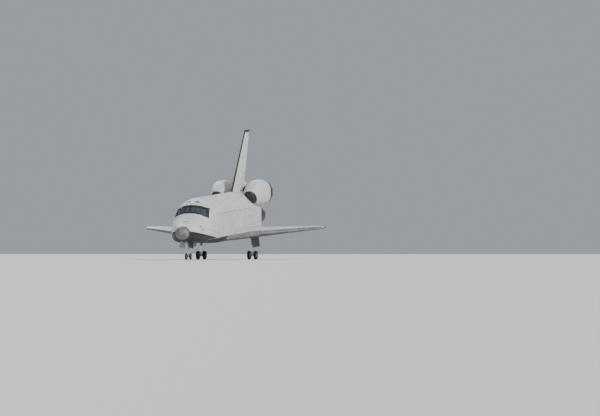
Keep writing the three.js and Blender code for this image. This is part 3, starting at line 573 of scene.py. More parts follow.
def block(name, stations, sides, heights, material=None):
    corners = [(sides[0], heights[0]), (sides[1], heights[0]), (sides[1], heights[1]), (sides[0], heights[1])]
    return loft(name, [[at(station, *corner) for corner in corners] for station in stations], material)


# A turned shape between two points, through rows of radius in inches and share of the way
def turnedBar(name, start, end, rows, material=None, sides=32, flat=35):
    line = end - start
    frameOf = line.to_track_quat("Z", "X").to_matrix()
    circle = [frameOf @ Vector((*polar(1, 360 * i / sides), 0)) for i in range(sides)]
    rings = [[start + line * share + spoke * radius * inch for spoke in circle] for radius, share in rows]
    return loft(name, rings, material, flat)


def rod(name, start, end, radius, material=None, sides=32):
    return turnedBar(name, start, end, [(radius, 0), (radius, 1)], material, sides)


# A round bar along the craft, as a cutter or a hinge pin
def longBar(name, stations, side, height, radius, sides=32):
    return rod(name, at(stations[0], side, height), at(stations[1], side, height), radius, None, sides)


# A round bar across the craft
def crossBar(name, sides, station, height, radius, material=None, faces=32):
    return rod(name, at(station, sides[0], height), at(station, sides[1], height), radius, material, faces)


# A bar with rounded ends
def tube(name, start, end, radius, material):
    length = (end - start).length / inch
    ease = min(0.35, radius * 0.3, length * 0.2)
    rows = [(radius - ease, 0), (radius, ease / length), (radius, 1 - ease / length), (radius - ease, 1)]
    return turnedBar(name, start, end, rows, material, 24)


# Fuselage sections: station, half width, top, height of the widest place, bottom, bottom squareness
noseRows = [
    (236, 1.6, 341.6, 340, 338.4, 2), (238.5, 11, 350.5, 340, 330, 2), (244, 19.5, 358, 339.5, 321.5, 2),
    (252, 28, 364.5, 339, 313, 2.1), (262, 35, 370, 338, 306.5, 2.2), (280, 47, 378, 337, 300, 2.4),
    (300, 57.5, 386, 336, 295.5, 2.6), (330, 69, 398, 336, 290, 2.9), (360, 79.5, 409, 337, 286.5, 3.2),
    (390, 87, 419.5, 340, 284, 3.6), (404, 90, 425, 344, 283.3, 3.8), (428, 94.2, 449, 352, 282, 4.2),
    (448, 97, 470, 360, 281, 4.5), (470, 99.3, 483, 370, 280, 5), (500, 102, 492, 381, 278.5, 5.5),
    (540, 103.6, 498.5, 392, 276, 7), (576, 104, 501.5, 398, 274, 9)]
midRows = [(576, 104, 501.5, 398, 274, 9), (620, 104, 502, 400, 272.5, 12), (1304, 104, 502, 400, 272, 12)]
aftRows = [(1304, 104, 502, 400, 272, 12), (1370, 104.5, 503, 400, 272.2, 12),
           (1450, 105, 503, 400, 274.5, 12), (1524, 105, 502, 400, 278, 12)]
skin = {"wall": 3, "doorWall": 4, "tip": 235.9, "capStation": 262, "cabinBack": 576, "bayBack": 1304,
        "aftBack": 1524, "cabin": (398, 572), "ringSides": 120, "gap": 0.012}
hinge = {"gap": 0.4 / 25.4, "ease": 0.02}


# Rows between the rows of a table, on smooth curves that never swing past them, with short steps at the nose
def rowsBetween(rows, start, end, steps):
    places = [math.sqrt(max(0, row[0] - skin["tip"])) for row in rows]
    table = []
    for column in range(1, len(rows[0])):
        values = [row[column] for row in rows]
        slopes = [(values[i + 1] - values[i]) / (places[i + 1] - places[i]) for i in range(len(rows) - 1)]
        tangents = [slopes[0]]
        for first, second in zip(slopes, slopes[1:]):
            tangents.append(0 if first * second <= 0 else 2 * first * second / (first + second))
        tangents.append(slopes[-1])
        table.append((values, tangents))
    found = []
    low, high = math.sqrt(start - skin["tip"]), math.sqrt(end - skin["tip"])
    for step in range(steps + 1):
        place = low + (high - low) * step / steps
        i = max(0, min(len(rows) - 2, sum(place >= p for p in places) - 1))
        width = places[i + 1] - places[i]
        t = (place - places[i]) / width
        row = [place ** 2 + skin["tip"]]
        for values, tangents in table:
            row.append(values[i] * (1 + 2 * t) * (1 - t) ** 2 + tangents[i] * width * t * (1 - t) ** 2
                       + values[i + 1] * t * t * (3 - 2 * t) + tangents[i + 1] * width * t * t * (t - 1))
        found.append(row)
    return found


def sectionRing(row, grow=0.0):
    station, half, top, middle, bottom, square = row
    ring = []
    for i in range(skin["ringSides"]):
        across, up = polar(1, 360 * (i + 0.5) / skin["ringSides"])
        power = 2 / (2 if up > 0 else square)
        reach = top - middle if up > 0 else middle - bottom
        out, rise = (half + grow) * bowed(across, power), (reach + grow) * bowed(up, power)
        ring.append(at(station, out, middle + rise))
    return ring


def hull(name, rows, start, end, steps, grow=0.0, material=None):
    return loft(name, [sectionRing(row, grow) for row in rowsBetween(rows, start, end, steps)], material)


def midHull(name, start, end, grow=0.0, material=None):
    return hull(name, midRows, start, end, 14, grow, material)


def aftHull(name, start, end, grow=0.0, material=None):
    return hull(name, aftRows, start, end, 10, grow, material)


def sectionAt(station):
    rows = noseRows if station < skin["cabinBack"] else midRows if station < skin["bayBack"] else aftRows
    return rowsBetween(rows, station, station + 0.1, 1)[0]


# Places on the fuselage skin, for what lies on it
def skinSide(station, height):
    _, half, top, widest, bottom, square = sectionAt(station)
    power, reach = (2, top - widest) if height > widest else (square, widest - bottom)
    return half * max(0, 1 - (abs(height - widest) / reach) ** power) ** (1 / power)


def skinTop(station, side):
    _, half, top, widest, _, _ = sectionAt(station)
    return widest + (top - widest) * math.sqrt(max(0, 1 - (side / half) ** 2))


def onSide(station, height, hand, out=0.0):
    return at(station, hand * (skinSide(station, height) + out), height)


def onTop(station, side, out=0.0):
    return at(station, side, skinTop(station, side) + out)


# The point at which the nose's skin passes through a side and a height
def onNose(side, height):
    low, high = 240.0, 575.0
    for _ in range(40):
        middle = (low + high) / 2
        _, half, top, widest, bottom, square = rowsBetween(noseRows, middle, middle + 0.1, 1)[0]
        power, reach = (2, top - widest) if height > widest else (square, widest - bottom)
        outside = (abs(side) / half) ** power + (abs(height - widest) / reach) ** power > 1
        low, high = (middle, high) if outside else (low, middle)
    return at(middle, side, height)


# A hair narrower at both ends, because shapes whose end faces lie in one plane leave stray faces when joined
def within(stations, gap=skin["gap"]):
    return stations[0] + gap, stations[1] - gap


# Two lugs, each an eye with a foot, past the ends of a hinge's middle eye. "half" is half that eye's length
def lugPair(station, half, reach, side, height, radius, footSides, footHeights, faces=32):
    near, lugs = half + hinge["ease"] + hinge["gap"], []
    for ends in ((station - reach, station - near), (station + near, station + reach)):
        lugs.append(longBar("eye", ends, side, height, radius, faces))
        lugs.append(block("foot", within(ends), footSides, footHeights))
    return lugs


seams = {"radius": 0.22, "sunk": 0.05, "sides": 8}


# A line on the skin through corners: on the flank by station and height, on top by station and side
def skinLine(corners, place, steps=8, closed=True):
    ends = corners + corners[:1] if closed else corners
    line = []
    for (start, low), (end, high) in zip(ends, ends[1:]):
        line += [place(partway(start, end, i / steps), partway(low, high, i / steps)) for i in range(steps)]
    line.append(place(*ends[-1]))
    return line


def flankLine(corners, hand, steps=8, closed=True):
    def place(station, height):
        return onSide(station, height, hand, -seams["sunk"])
    return skinLine(corners, place, steps, closed)


def topLine(corners, steps=8):
    return skinLine(corners, lambda station, side: onTop(station, side, -seams["sunk"]), steps)


def flankBox(middle, height, halfLong, halfHigh, hand):
    corners = ((-1, -1), (1, -1), (1, 1), (-1, 1))
    return flankLine([(middle + along * halfLong, height + up * halfHigh) for along, up in corners], hand)


def seamPipes(name, lines, radius=seams["radius"]):
    return pipes(name, lines, radius, materials["joint"], seams["sides"])


# Panes of the windshield: corners as side and height, lower inner, lower outer, upper outer, upper inner
panes = {
    "front": [(2.6, 438), (25.2, 436.4), (23.4, 463.4), (2.6, 464.8)],
    "middle": [(29.2, 435.8), (53.0, 430.6), (48.6, 458.2), (27.0, 463.0)],
    "side": [(57.2, 429.4), (79.6, 420.6), (73.6, 447.6), (52.6, 457.0)]}
paneLook = {"corner": 3.2, "cornerSteps": 5, "outside": -2.2, "inside": -3.2, "overlap": 1.62, "hole": 14,
            "cabin": (520, 0, 400)}


# A flat outline with rounded corners through the four corner points
def roundedOutline(corners, radius, steps):
    outline = []
    for i, corner in enumerate(corners):
        before = (corners[i - 1] - corner).normalized() * radius
        after = (corners[(i + 1) % len(corners)] - corner).normalized() * radius
        for step in range(steps + 1):
            t = step / steps
            outline.append(corner + before * (1 - t) ** 2 + after * t * t)
    return outline


def panePrism(name, corners, hand, inner, outer, grow=0.0, material=None):
    points = [onNose(hand * side, height) for side, height in corners]
    middle = sum(points, Vector()) / 4
    normal = (points[2] - points[0]).cross(points[3] - points[1]).normalized()
    if normal.dot(middle - at(*paneLook["cabin"])) < 0:
        normal.negate()
    flat = [point - normal * (point - middle).dot(normal) for point in points]
    grown = [point + (point - middle).normalized() * grow * inch for point in flat]
    outline = roundedOutline(grown, paneLook["corner"] * inch, paneLook["cornerSteps"])
    return loft(name, [[point + normal * away * inch for point in outline] for away in (inner, outer)],
                material)


# The forward thruster module, cut out of the nose's skin, with its nozzle ports
module = {"front": 306, "back": 388, "half": 46, "bottom": 352, "top": 460, "gap": 0.4}
ports = {"side": [(352, 366), (366, 368), (354, 350), (368, 351)], "vernier": (381, 356),
         "vernierLean": -0.35, "top": [(356, -15), (356, 0), (356, 15)], "topLean": 0.15,
         "front": [(322, -11), (319, 0), (322, 11)], "frontLean": 0.62, "radius": 4.3, "vernierRadius": 2.2,
         "cut": (7, 5, [(0.72, 0), (1, 0.58), (1, 1)], 40)}


def moduleBox(name, grow):
    half, stations = module["half"] + grow, (module["front"] - grow, module["back"] + grow)
    return block(name, stations, (-half, half), (module["bottom"] - grow, module["top"]))


def portSpots():
    found = []
    for hand in (1, -1):
        for station, height in ports["side"]:
            point = onSide(station, height, hand)
            along, up = onSide(station + 1, height, hand) - point, onSide(station, height + 1, hand) - point
            normal = along.cross(up).normalized()
            found.append((point, normal if normal.y * hand > 0 else -normal, ports["radius"]))
        down = turnCraft @ Vector((0, hand, ports["vernierLean"])).normalized()
        found.append((onSide(*ports["vernier"], hand), down, ports["vernierRadius"]))
    for row in ("top", "front"):
        up = turnCraft @ Vector((ports[row + "Lean"], 0, 1)).normalized()
        found += [(onTop(station, side), up, ports["radius"]) for station, side in ports[row]]
    return found


# Cutters for nozzle ports: depth, height past the skin, rows of share of the radius and of the way, and sides
def portCutters(spots, depth, past, rows, sides):
    cutters = []
    for point, normal, radius in spots:
        ends = point - normal * depth * inch, point + normal * past * inch
        shape = [(radius * share, along) for share, along in rows]
        cutters.append(turnedBar("portHole", *ends, shape, materials["port"], sides))
    return cutters


def noseCutters():
    return portCutters(portSpots(), *ports["cut"])


# The side hatch, to port: hinged along its lower edge, with a round pane
hatch = {"station": 510, "height": 360, "radius": 20, "hole": 20.3, "ring": 21.4, "pin": 5, "pinRadius": 1.8,
         "hingeSide": 104, "hingeHeight": 338.4, "reach": 9, "lugSides": (101.2, 103.9),
         "lugHeights": (337.3, 339.3), "pane": 5.2, "paneFrom": 1.6, "paneTo": 0.8, "paneRing": 5.6,
         "pinRoom": 2.1, "eyeRoom": 2.0, "armRoom": 1, "armIn": 100, "armOut": 0.4, "armFoot": 0.6,
         "armTop": 5.6}
noseWell = {"stations": (292, 392), "half": 20, "heights": (240, 336)}
overhead = {"stations": (475, 497), "sides": (11, 33), "heights": (470, 520)}


def hatchBar(name, radius):
    return crossBar(name, (60, 120), hatch["station"], hatch["height"], radius, None, 96)


# The arm from the hatch's pin up into its skin, or the room for it
def hatchArm(name, ends, grow):
    side, height = hatch["hingeSide"] - hatch["armOut"] + grow, hatch["hingeHeight"]
    heights = (height + hatch["armFoot"] - grow, height + hatch["armTop"])
    return block(name, within(ends), (hatch["armIn"] - grow, side), heights)


def makeNose():
    cap = hull("noseCapShell", noseRows, 236, skin["capStation"], 16, 0, materials["carbon"])
    settled(cap, "nose_cap")
    front = skin["capStation"] + skin["gap"] * 2
    shell = hull("forwardShell", noseRows, front, skin["cabinBack"], 56, 0, materials["body"])
    moduleSkin = copied(shell, "thrusterModule")
    cut(moduleSkin, [moduleBox("moduleBox", 0)], "INTERSECT")
    settled(cut(moduleSkin, noseCutters()), "forward_thruster_module")
    half, wellSides = hatch["pin"] + hinge["gap"], (-noseWell["half"], noseWell["half"])
    pinEnds = (hatch["station"] - half, hatch["station"] + half)
    side, height = hatch["hingeSide"], hatch["hingeHeight"]
    cutters = [hull("cabinRoom", noseRows, *skin["cabin"], 20, -skin["wall"]),
               moduleBox("moduleRoom", module["gap"]),
               block("noseWell", noseWell["stations"], wellSides, noseWell["heights"], materials["well"]),
               hatchBar("hatchHole", hatch["hole"]),
               longBar("pinRoom", pinEnds, side, height, hatch["pinRoom"]),
               hatchArm("armRoom", pinEnds, hatch["armRoom"])]
    glass = []
    for hand in (1, -1):
        for corners in panes.values():
            cutters.append(panePrism("paneHole", corners, hand, -paneLook["hole"], paneLook["hole"]))
            glass.append(panePrism("pane", corners, hand, paneLook["inside"], paneLook["outside"],
                                   paneLook["overlap"], materials["glass"]))
        sides = toward(hand, overhead["sides"])
        cutters.append(block("overheadHole", overhead["stations"], sides, overhead["heights"]))
    cut(shell, cutters + noseCutters())
    cut(shell, lugPair(hatch["station"], hatch["pin"], hatch["reach"], side, height, hatch["pinRadius"],
                       hatch["lugSides"], hatch["lugHeights"]), "UNION")
    settled(joinedPiece("forwardShell", [shell] + noseTrim()), "forward_fuselage")
    settled(joinedPiece("windshieldPanes", glass), "windshield")


# Lines and small fittings of the nose: vent doors, module joints, star tracker doors, hatch ring
def noseTrim():
    lines = [flankBox(*box, hand) for hand in (1, -1) for box in ((548, 404, 9, 5), (470, 332, 7, 4))]
    lines.append(topLine([(400, -30), (400, 30), (304.5, 26), (304.5, -26)], 14))
    for side in (15, 29):
        lines.append(topLine([(412, side - 6), (412, side + 6), (396, side + 6), (396, side - 6)]))
    spokes = [polar(hatch["ring"], degrees) for degrees in range(-60, 241, 6)]
    ring = [onSide(hatch["station"] + along, hatch["height"] + up, 1, 0.02) for along, up in spokes]
    return [seamPipes("noseSeams", lines), pipes("hatchRing", [ring], 0.45, materials["rim"], 10)]


def makeHatch():
    station, side, height, pin = hatch["station"], hatch["hingeSide"], hatch["hingeHeight"], hatch["pin"]
    door = hull("hatchSkin", noseRows, 470, 550, 24, 0, materials["white"])
    cut(door, [hull("hatchRoom", noseRows, 460, 560, 24, -skin["wall"])])
    cut(door, [hatchBar("hatchRound", hatch["radius"])], "INTERSECT")
    near, far = pin + hinge["ease"], hatch["reach"] + 0.2
    roomEnds = ((station - far, station - near), (station + near, station + far))
    rooms = [longBar("eyeRoom", ends, side, height, hatch["eyeRoom"]) for ends in roomEnds]
    cut(door, rooms + [hatchBar("paneHole", hatch["pane"])])
    ends = (station - pin, station + pin)
    cut(door, [longBar("hatchPin", ends, side, height, hatch["pinRadius"]), hatchArm("hatchArm", ends, 0)],
        "UNION")
    out = skinSide(station, hatch["height"])
    paneSides = (out - hatch["paneFrom"], out - hatch["paneTo"])
    pane = crossBar("hatchPane", paneSides, station, hatch["height"], hatch["pane"] + 0.1,
                    materials["glass"], 48)
    middle = at(station, out - 0.2, hatch["height"])
    spokes = [polar(hatch["paneRing"], degrees) for degrees in range(0, 361, 10)]
    circle = [middle + turnCraft @ Vector((along, 0, up)) * inch for along, up in spokes]
    ring = pipes("paneRing", [circle], 0.5, materials["rim"], 10)
    settled(joinedPiece("hatchDoor", [door, pane, ring]), "side_hatch")


# Payload bay: an open trough with two doors on the same skin
bay = {"front": 583, "back": 1301, "radius": 91, "axisHeight": 400, "sill": 419.5, "top": 520, "outside": 120,
       "knuckles": [640, 790, 941, 1092, 1242], "knuckle": 3, "reach": 8, "hingeSide": 103,
       "hingeHeight": 420, "hingeRadius": 2.2, "swing": 0.3, "swingEnd": 0.4, "doorGap": 0.3, "doorEdge": 1.7,
       "middleGap": 0.15, "lugFaces": 24, "postSides": (99, 103.6), "postHeights": (412, 419.2),
       "footSides": (99.5, 102.4), "footHeights": (420.5, 424)}


def makeMid():
    gap, side, height = 2 * skin["gap"], bay["hingeSide"], bay["hingeHeight"]
    trough = midHull("midShell", skin["cabinBack"] + gap, skin["bayBack"] - gap, 0, materials["body"])
    ends, half = (bay["front"], bay["back"]), bay["knuckle"]
    cutters = [block("openTop", ends, (-bay["outside"], bay["outside"]), (bay["sill"], bay["top"])),
               longBar("bayRoom", ends, 0, bay["axisHeight"], bay["radius"], 144)]
    lugs = []
    for hand in (1, -1):
        for station in bay["knuckles"]:
            swing = within((station - bay["reach"], station + bay["reach"]), -bay["swingEnd"])
            eye = (station - half, station + half)
            cutters.append(longBar("swingRoom", swing, hand * side, height,
                                   bay["hingeRadius"] + bay["swing"]))
            lugs += [longBar("lug", eye, hand * side, height, bay["hingeRadius"], bay["lugFaces"]),
                     block("post", within(eye), toward(hand, bay["postSides"]), bay["postHeights"])]
    cut(trough, cutters)
    cut(trough, lugs, "UNION")
    settled(joinedPiece("midShell", [trough] + bayTrim() + midTrim()), "mid_fuselage")


def makeBayDoors():
    front, back = bay["front"] + bay["doorGap"], bay["back"] - bay["doorGap"]
    reach = bay["knuckle"] + hinge["gap"]
    for tag, hand in hands.items():
        door = midHull("bayDoor", front, back, 0, materials["door"])
        cut(door, [midHull("doorRoom", front - 2, back + 2, -skin["doorWall"])])
        heights = (bay["sill"] + bay["doorEdge"], bay["top"])
        sides = toward(hand, (bay["middleGap"], bay["outside"]))
        half = block("doorHalf", (front - 1, back + 1), sides, heights)
        cut(door, [half], "INTERSECT")
        side, height, rooms, lugs = hand * bay["hingeSide"], bay["hingeHeight"], [], []
        for station in bay["knuckles"]:
            rooms.append(longBar("lugRoom", (station - reach, station + reach), side, height,
                                 bay["hingeRadius"] + bay["swing"]))
            lugs += lugPair(station, bay["knuckle"], bay["reach"], side, height, bay["hingeRadius"],
                            toward(hand, bay["footSides"]), bay["footHeights"], bay["lugFaces"])
        cut(door, rooms)
        cut(door, lugs, "UNION")
        joinedPiece("bayDoor_" + tag, [door] + radiators(hand) + doorSeams(hand))
        settled(door, "payload_bay_door_" + tag)


# Fittings of the bay: frames across it, side and floor rails with their sides, heights and radii
bayFittings = {"frames": 12, "first": 30, "pitch": 60, "frameSunk": 0.2, "frameRadius": 1.3, "railEnd": 3,
               "sideRails": ((91.6, 414), (90.2, 380)), "sideRadius": 0.9, "floorRails": 12,
               "floorHeight": 309.6, "floorRadius": 0.8, "ventDoors": (655, 760, 865, 970, 1075, 1180),
               "ventDoor": (404, 9.5, 5.5)}


def bayTrim():
    arc = [polar(bay["radius"] - bayFittings["frameSunk"], degrees) for degrees in range(-168, -11, 6)]
    stations = [bay["front"] + bayFittings["first"] + i * bayFittings["pitch"]
                for i in range(bayFittings["frames"])]
    frames = [[at(station, side, bay["axisHeight"] + up) for side, up in arc] for station in stations]
    ends = within((bay["front"], bay["back"]), bayFittings["railEnd"])
    rails = [[at(station, hand * side, height) for station in ends] for hand in (1, -1)
             for side, height in bayFittings["sideRails"]]
    floor = [[at(station, side, bayFittings["floorHeight"]) for station in ends]
             for side in (-bayFittings["floorRails"], bayFittings["floorRails"])]
    return [pipes("bayFrames", frames, bayFittings["frameRadius"], materials["gear"], 8),
            pipes("bayRails", rails, bayFittings["sideRadius"], materials["rim"], 8),
            pipes("bayFloorRails", floor, bayFittings["floorRadius"], materials["rim"], 8)]


def midTrim():
    lines = []
    for hand in (1, -1):
        lines += [flankBox(station, *bayFittings["ventDoor"], hand) for station in bayFittings["ventDoors"]]
        lines.append(flankLine([(579, 409.5), (bay["back"], 409.5)], hand, 40, False))
    return [seamPipes("midSeams", lines)]


# Radiators inside a door: distance in from the skin of their two faces, the tubes on them, the door's joints
radiator = {"count": 4, "first": 592, "pitch": 177, "length": 171, "outer": 4.15, "inner": 5.3,
            "tubeDepth": 5.5, "tubes": 18, "tubeFirst": 6, "tubePitch": 9.4, "tubeRadius": 0.3,
            "joints": (727, 870, 1013, 1157)}


# A point by the round of a bay door, some inches outside its skin
def onDoorRound(station, hand, degrees, out):
    _, half, top, middle, _, _ = midRows[-1]
    across, up = polar(1, degrees)
    return at(station, hand * (half + out) * across, middle + (top - middle + out) * up)


def radiators(hand):
    around = [(degrees, -radiator["outer"]) for degrees in range(17, 87, 3)]
    around += [(degrees, -radiator["inner"]) for degrees in range(86, 16, -3)]
    tube = [(degrees, -radiator["tubeDepth"]) for degrees in range(20, 84, 4)]
    panels = []
    for i in range(radiator["count"]):
        start = radiator["first"] + i * radiator["pitch"]
        rings = [[onDoorRound(station, hand, *spot) for spot in around]
                 for station in (start, start + radiator["length"])]
        panels.append(loft("radiator", rings, materials["radiator"]))
        first = start + radiator["tubeFirst"]
        tubes = [[onDoorRound(first + radiator["tubePitch"] * k, hand, *spot) for spot in tube]
                 for k in range(radiator["tubes"])]
        panels.append(pipes("radiatorTubes", tubes, radiator["tubeRadius"], materials["radiator"], 6))
    return panels


def doorSeams(hand):
    lines = [[onDoorRound(station, hand, degrees, 0.03) for degrees in range(14, 90, 3)]
             for station in radiator["joints"]]
    return [seamPipes("doorJoints", lines)]


# Wing rows: side, leading edge, thickest station, underside, thickness, height of the edge, fullness
wingRows = [
    (88, 440, 1150, 272, 64, 297, 1.12), (106, 500, 1150, 272.3, 62.5, 297, 1.14),
    (124, 562, 1150, 273, 60, 297, 1.16), (162, 801, 1165, 275.5, 54, 297, 1.3),
    (199, 1035, 1190, 279, 47.5, 298, 1.65), (240, 1076, 1205, 283.5, 42, 300, 1.8),
    (330, 1166, 1260, 293, 32, 304.5, 1.85), (440, 1276, 1335, 304.2, 19.5, 311, 1.9),
    (462, 1299, 1349, 306.3, 16.8, 312.3, 1.9), (468.34, 1312, 1358, 308.6, 12, 313.5, 1.9)]
wing = {"root": 105, "tip": 468.34, "corner": (183, 199, 222), "trailStation": 1525.3, "trailSweep": 10.056,
        "trailHeight": 284.5, "trailRise": 0.0757, "trailHalf": 0.8, "stepsAbove": 26, "stepsBelow": 16,
        "bunching": 2.4, "fullBelow": 2.2, "edgeDepth": 15, "edgeStart": 143, "edgeEnd": 466, "tipRound": 5.5,
        "tipPull": 6, "panels": 22, "heights": (240, 360)}
elevon = {"hinge": 1387, "gap": 0.6, "upCut": 40, "downCut": 24, "inner": 109.3, "splitIn": 312.5,
          "splitOut": 317, "outer": 466, "pin": 3, "ribGap": 0.8, "rootHeight": 290.8, "rise": 22.6,
          "rootRadius": 10.6, "taper": 5.6}
wingPlan = {
    "sides": [88, 97, 106, 115, 124, 143, 162, 175, 183, 187, 191, 195, 199, 203, 208, 214, 222, 240, 285,
              330, 385, 440, 455, 462, 463.5, 465, 466.3, 467.3, 468, 468.34],
    "edgeSides": [143, 150, 162, 175, 183, 187, 191, 195, 199, 203, 208, 214, 222, 240, 330, 440, 462, 469],
    "bodySide": [(430, 60), (430, 84), (500, 92), (620, 95), (1530, 95), (1530, 60)],
    "flipperSides": (112, 152, 192, 232, 272, 312, 350, 388, 426, 463),
    "flipperStations": (1336, 1345, 1355, 1365, 1374, 1380)}
mainWell = {"stations": (1040, 1196), "sides": (110, 166), "heights": (240, 312)}


def tableAt(rows, place):
    i = max(1, min(len(rows) - 1, sum(place > row[0] for row in rows)))
    low, high = rows[i - 1], rows[i]
    share = (place - low[0]) / (high[0] - low[0])
    return [a + (b - a) * share for a, b in zip(low, high)]


def bezier(start, middle, end, t):
    return (1 - t) ** 2 * start + 2 * t * (1 - t) * middle + t * t * end


# The edge turns outward on a curve where the strake meets the wing
def leadAt(side):
    if not wing["corner"][0] < side < wing["corner"][2]:
        return tableAt(wingRows, side)[1]
    low, high = 0.0, 1.0
    for _ in range(30):
        t = (low + high) / 2
        low, high = (t, high) if bezier(*wing["corner"], t) < side else (low, t)
    return bezier(*[tableAt(wingRows, place)[1] for place in wing["corner"]], t)


def trailAt(side):
    station = wing["trailStation"] - side * math.tan(math.radians(wing["trailSweep"]))
    return station, wing["trailHeight"] + (side - wing["root"]) * wing["trailRise"]


def bulge(share, fullness):
    return (1 - (1 - share) ** fullness) ** (1 / fullness)


def wingRing(side, hand):
    _, _, thick, low, depth, edge, power = tableAt(wingRows, side)
    past = max(0, side - (wing["tip"] - wing["tipRound"])) / wing["tipRound"]
    slim = math.sqrt(max(0.02, 1 - past * past))
    lead = leadAt(side) + (1 - slim) * wing["tipPull"]
    trail, end = trailAt(side)
    ring = []
    for i in range(wing["stepsAbove"] + 1):
        share = (i / wing["stepsAbove"]) ** wing["bunching"]
        rise = (low + depth - edge) * bulge(share, power) * slim
        ring.append(at(lead + (thick - lead) * share, hand * side, edge + rise))
    ring += [at(trail, hand * side, end + up) for up in (wing["trailHalf"], -wing["trailHalf"])]
    for i in range(wing["stepsBelow"], 0, -1):
        share = (i / wing["stepsBelow"]) ** wing["bunching"]
        fall = (edge - low) * bulge(share, wing["fullBelow"]) * slim
        ring.append(at(lead + (thick - lead) * share, hand * side, edge - fall))
    return ring


# A point a hair outside the wing's upper or lower surface
def onWing(station, side, hand, above=True):
    _, _, thick, low, depth, edge, power = tableAt(wingRows, side)
    lead, (trail, end) = leadAt(side), trailAt(side)
    out, high = (1, low + depth) if above else (-1, low)
    share = max((station - lead) / (thick - lead), 0)
    if share >= 1:
        end += wing["trailHalf"] * out
        height = high + (end - high) * (station - thick) / (trail - thick)
    else:
        height = edge + (high - edge) * bulge(share, power if above else wing["fullBelow"])
    return at(station, hand * side, height + 0.02 * out)


# Height of the elevons' hinge and radius of their nose
def hingeLine(side):
    share = (side - wing["root"]) / (wing["tip"] - wing["root"])
    return elevon["rootHeight"] + elevon["rise"] * share, elevon["rootRadius"] - elevon["taper"] * share


def hingeLoft(name, sides, hand, grow, startAngle, endAngle, reach=60, behind=200):
    rings = []
    for side in sides:
        height, radius = hingeLine(side)
        ahead = [polar(radius + grow, startAngle + (endAngle - startAngle) * i / 24) for i in range(25)]
        outline = ahead + [(ahead[-1][0], -reach), (behind, -reach), (behind, reach), (ahead[0][0], reach)]
        rings.append([at(elevon["hinge"] + back, hand * side, height + up) for back, up in outline])
    return loft(name, rings)


def slab(name, outline, hand):
    return loft(name, [[at(station, hand * side, height) for station, side in outline]
                       for height in wing["heights"]])


# Everything within some inches behind the leading edge, seen from above
def edgeRegion(name, hand, depth):
    line = [Vector((leadAt(min(side, wing["tip"])), side)) for side in wingPlan["edgeSides"]]
    behind = []
    for i, point in enumerate(line):
        run = (line[min(i + 1, len(line) - 1)] - line[max(i - 1, 0)]).normalized()
        behind.append(point + Vector((run.y, -run.x)) * depth)
    behind[-1] = Vector((wingRows[-1][1] + depth * 1.5, 470))
    front = [(560, wing["edgeStart"]), (560, 480), (1345, 480)]
    return slab(name, front + [tuple(point) for point in reversed(behind)], hand)


# Joints between the carbon panels, square to the leading edge
def edgeSeams(hand):
    steps = 600
    sides = [partway(wing["edgeStart"], wing["edgeEnd"], i / steps) for i in range(steps + 1)]
    track = [Vector((leadAt(side), side)) for side in sides]
    reach = [0.0]
    for a, b in zip(track, track[1:]):
        reach.append(reach[-1] + (b - a).length)
    depths = [wing["edgeDepth"] * (k / 14) ** 2 for k in range(14, -1, -1)]
    lines = []
    for seam in range(1, wing["panels"]):
        i = next(i for i, value in enumerate(reach) if value >= reach[-1] * seam / wing["panels"])
        run = (track[min(i + 4, steps)] - track[max(i - 4, 0)]).normalized()
        inward = Vector((run.y, -run.x))
        around = [(depth, True) for depth in depths] + [(depth, False) for depth in depths[::-1][1:]]
        lines.append([onWing(*(track[i] + inward * depth), hand, above) for depth, above in around])
    return lines


# Flipper doors over the elevon hinge, as joints on the wing's top
def flipperSeams(hand):
    lines = [[onWing(station, side, hand) for station in wingPlan["flipperStations"]]
             for side in wingPlan["flipperSides"]]
    return lines + [[onWing(wingPlan["flipperStations"][0], side, hand) for side in range(112, 464, 9)]]


# The plate between the inboard and the outboard elevon, round ahead of the hinge and full behind it
def elevonRib(hand, ends):
    rings = []
    for side in ends:
        height, radius = hingeLine(side)
        outline = [(-radius - 3, radius * 0.6), (-radius - 3, -radius * 0.6)]
        outline += [polar(radius * 0.75, degrees) for degrees in range(-90, 91, 10)]
        rings.append([at(elevon["hinge"] + back, hand * side, height + up) for back, up in outline])
    return loft("rib", rings)


def makeElevons(whole, tag, hand, ends):
    sunk = 1
    reach = hinge["gap"] + elevon["pin"] * elevon["rise"] / (wing["tip"] - wing["root"])
    rows = (("inboard", elevon["inner"], elevon["splitIn"], elevon["splitIn"] - sunk, ends[0] - reach),
            ("outboard", elevon["splitOut"], elevon["outer"], elevon["splitOut"] + sunk, ends[1] + reach))
    for place, inner, outer, *pinEnds in rows:
        name = "elevon_" + place + "_" + tag
        panel = copied(whole, name + "_panel")
        cut(panel, [hingeLoft("panelSide", [inner, outer], hand, 0, 90, 270)], "INTERSECT")
        points = [at(elevon["hinge"], hand * side, hingeLine(side)[0]) for side in pinEnds]
        settled(cut(panel, [rod("pin", *points, elevon["pin"])], "UNION"), name)


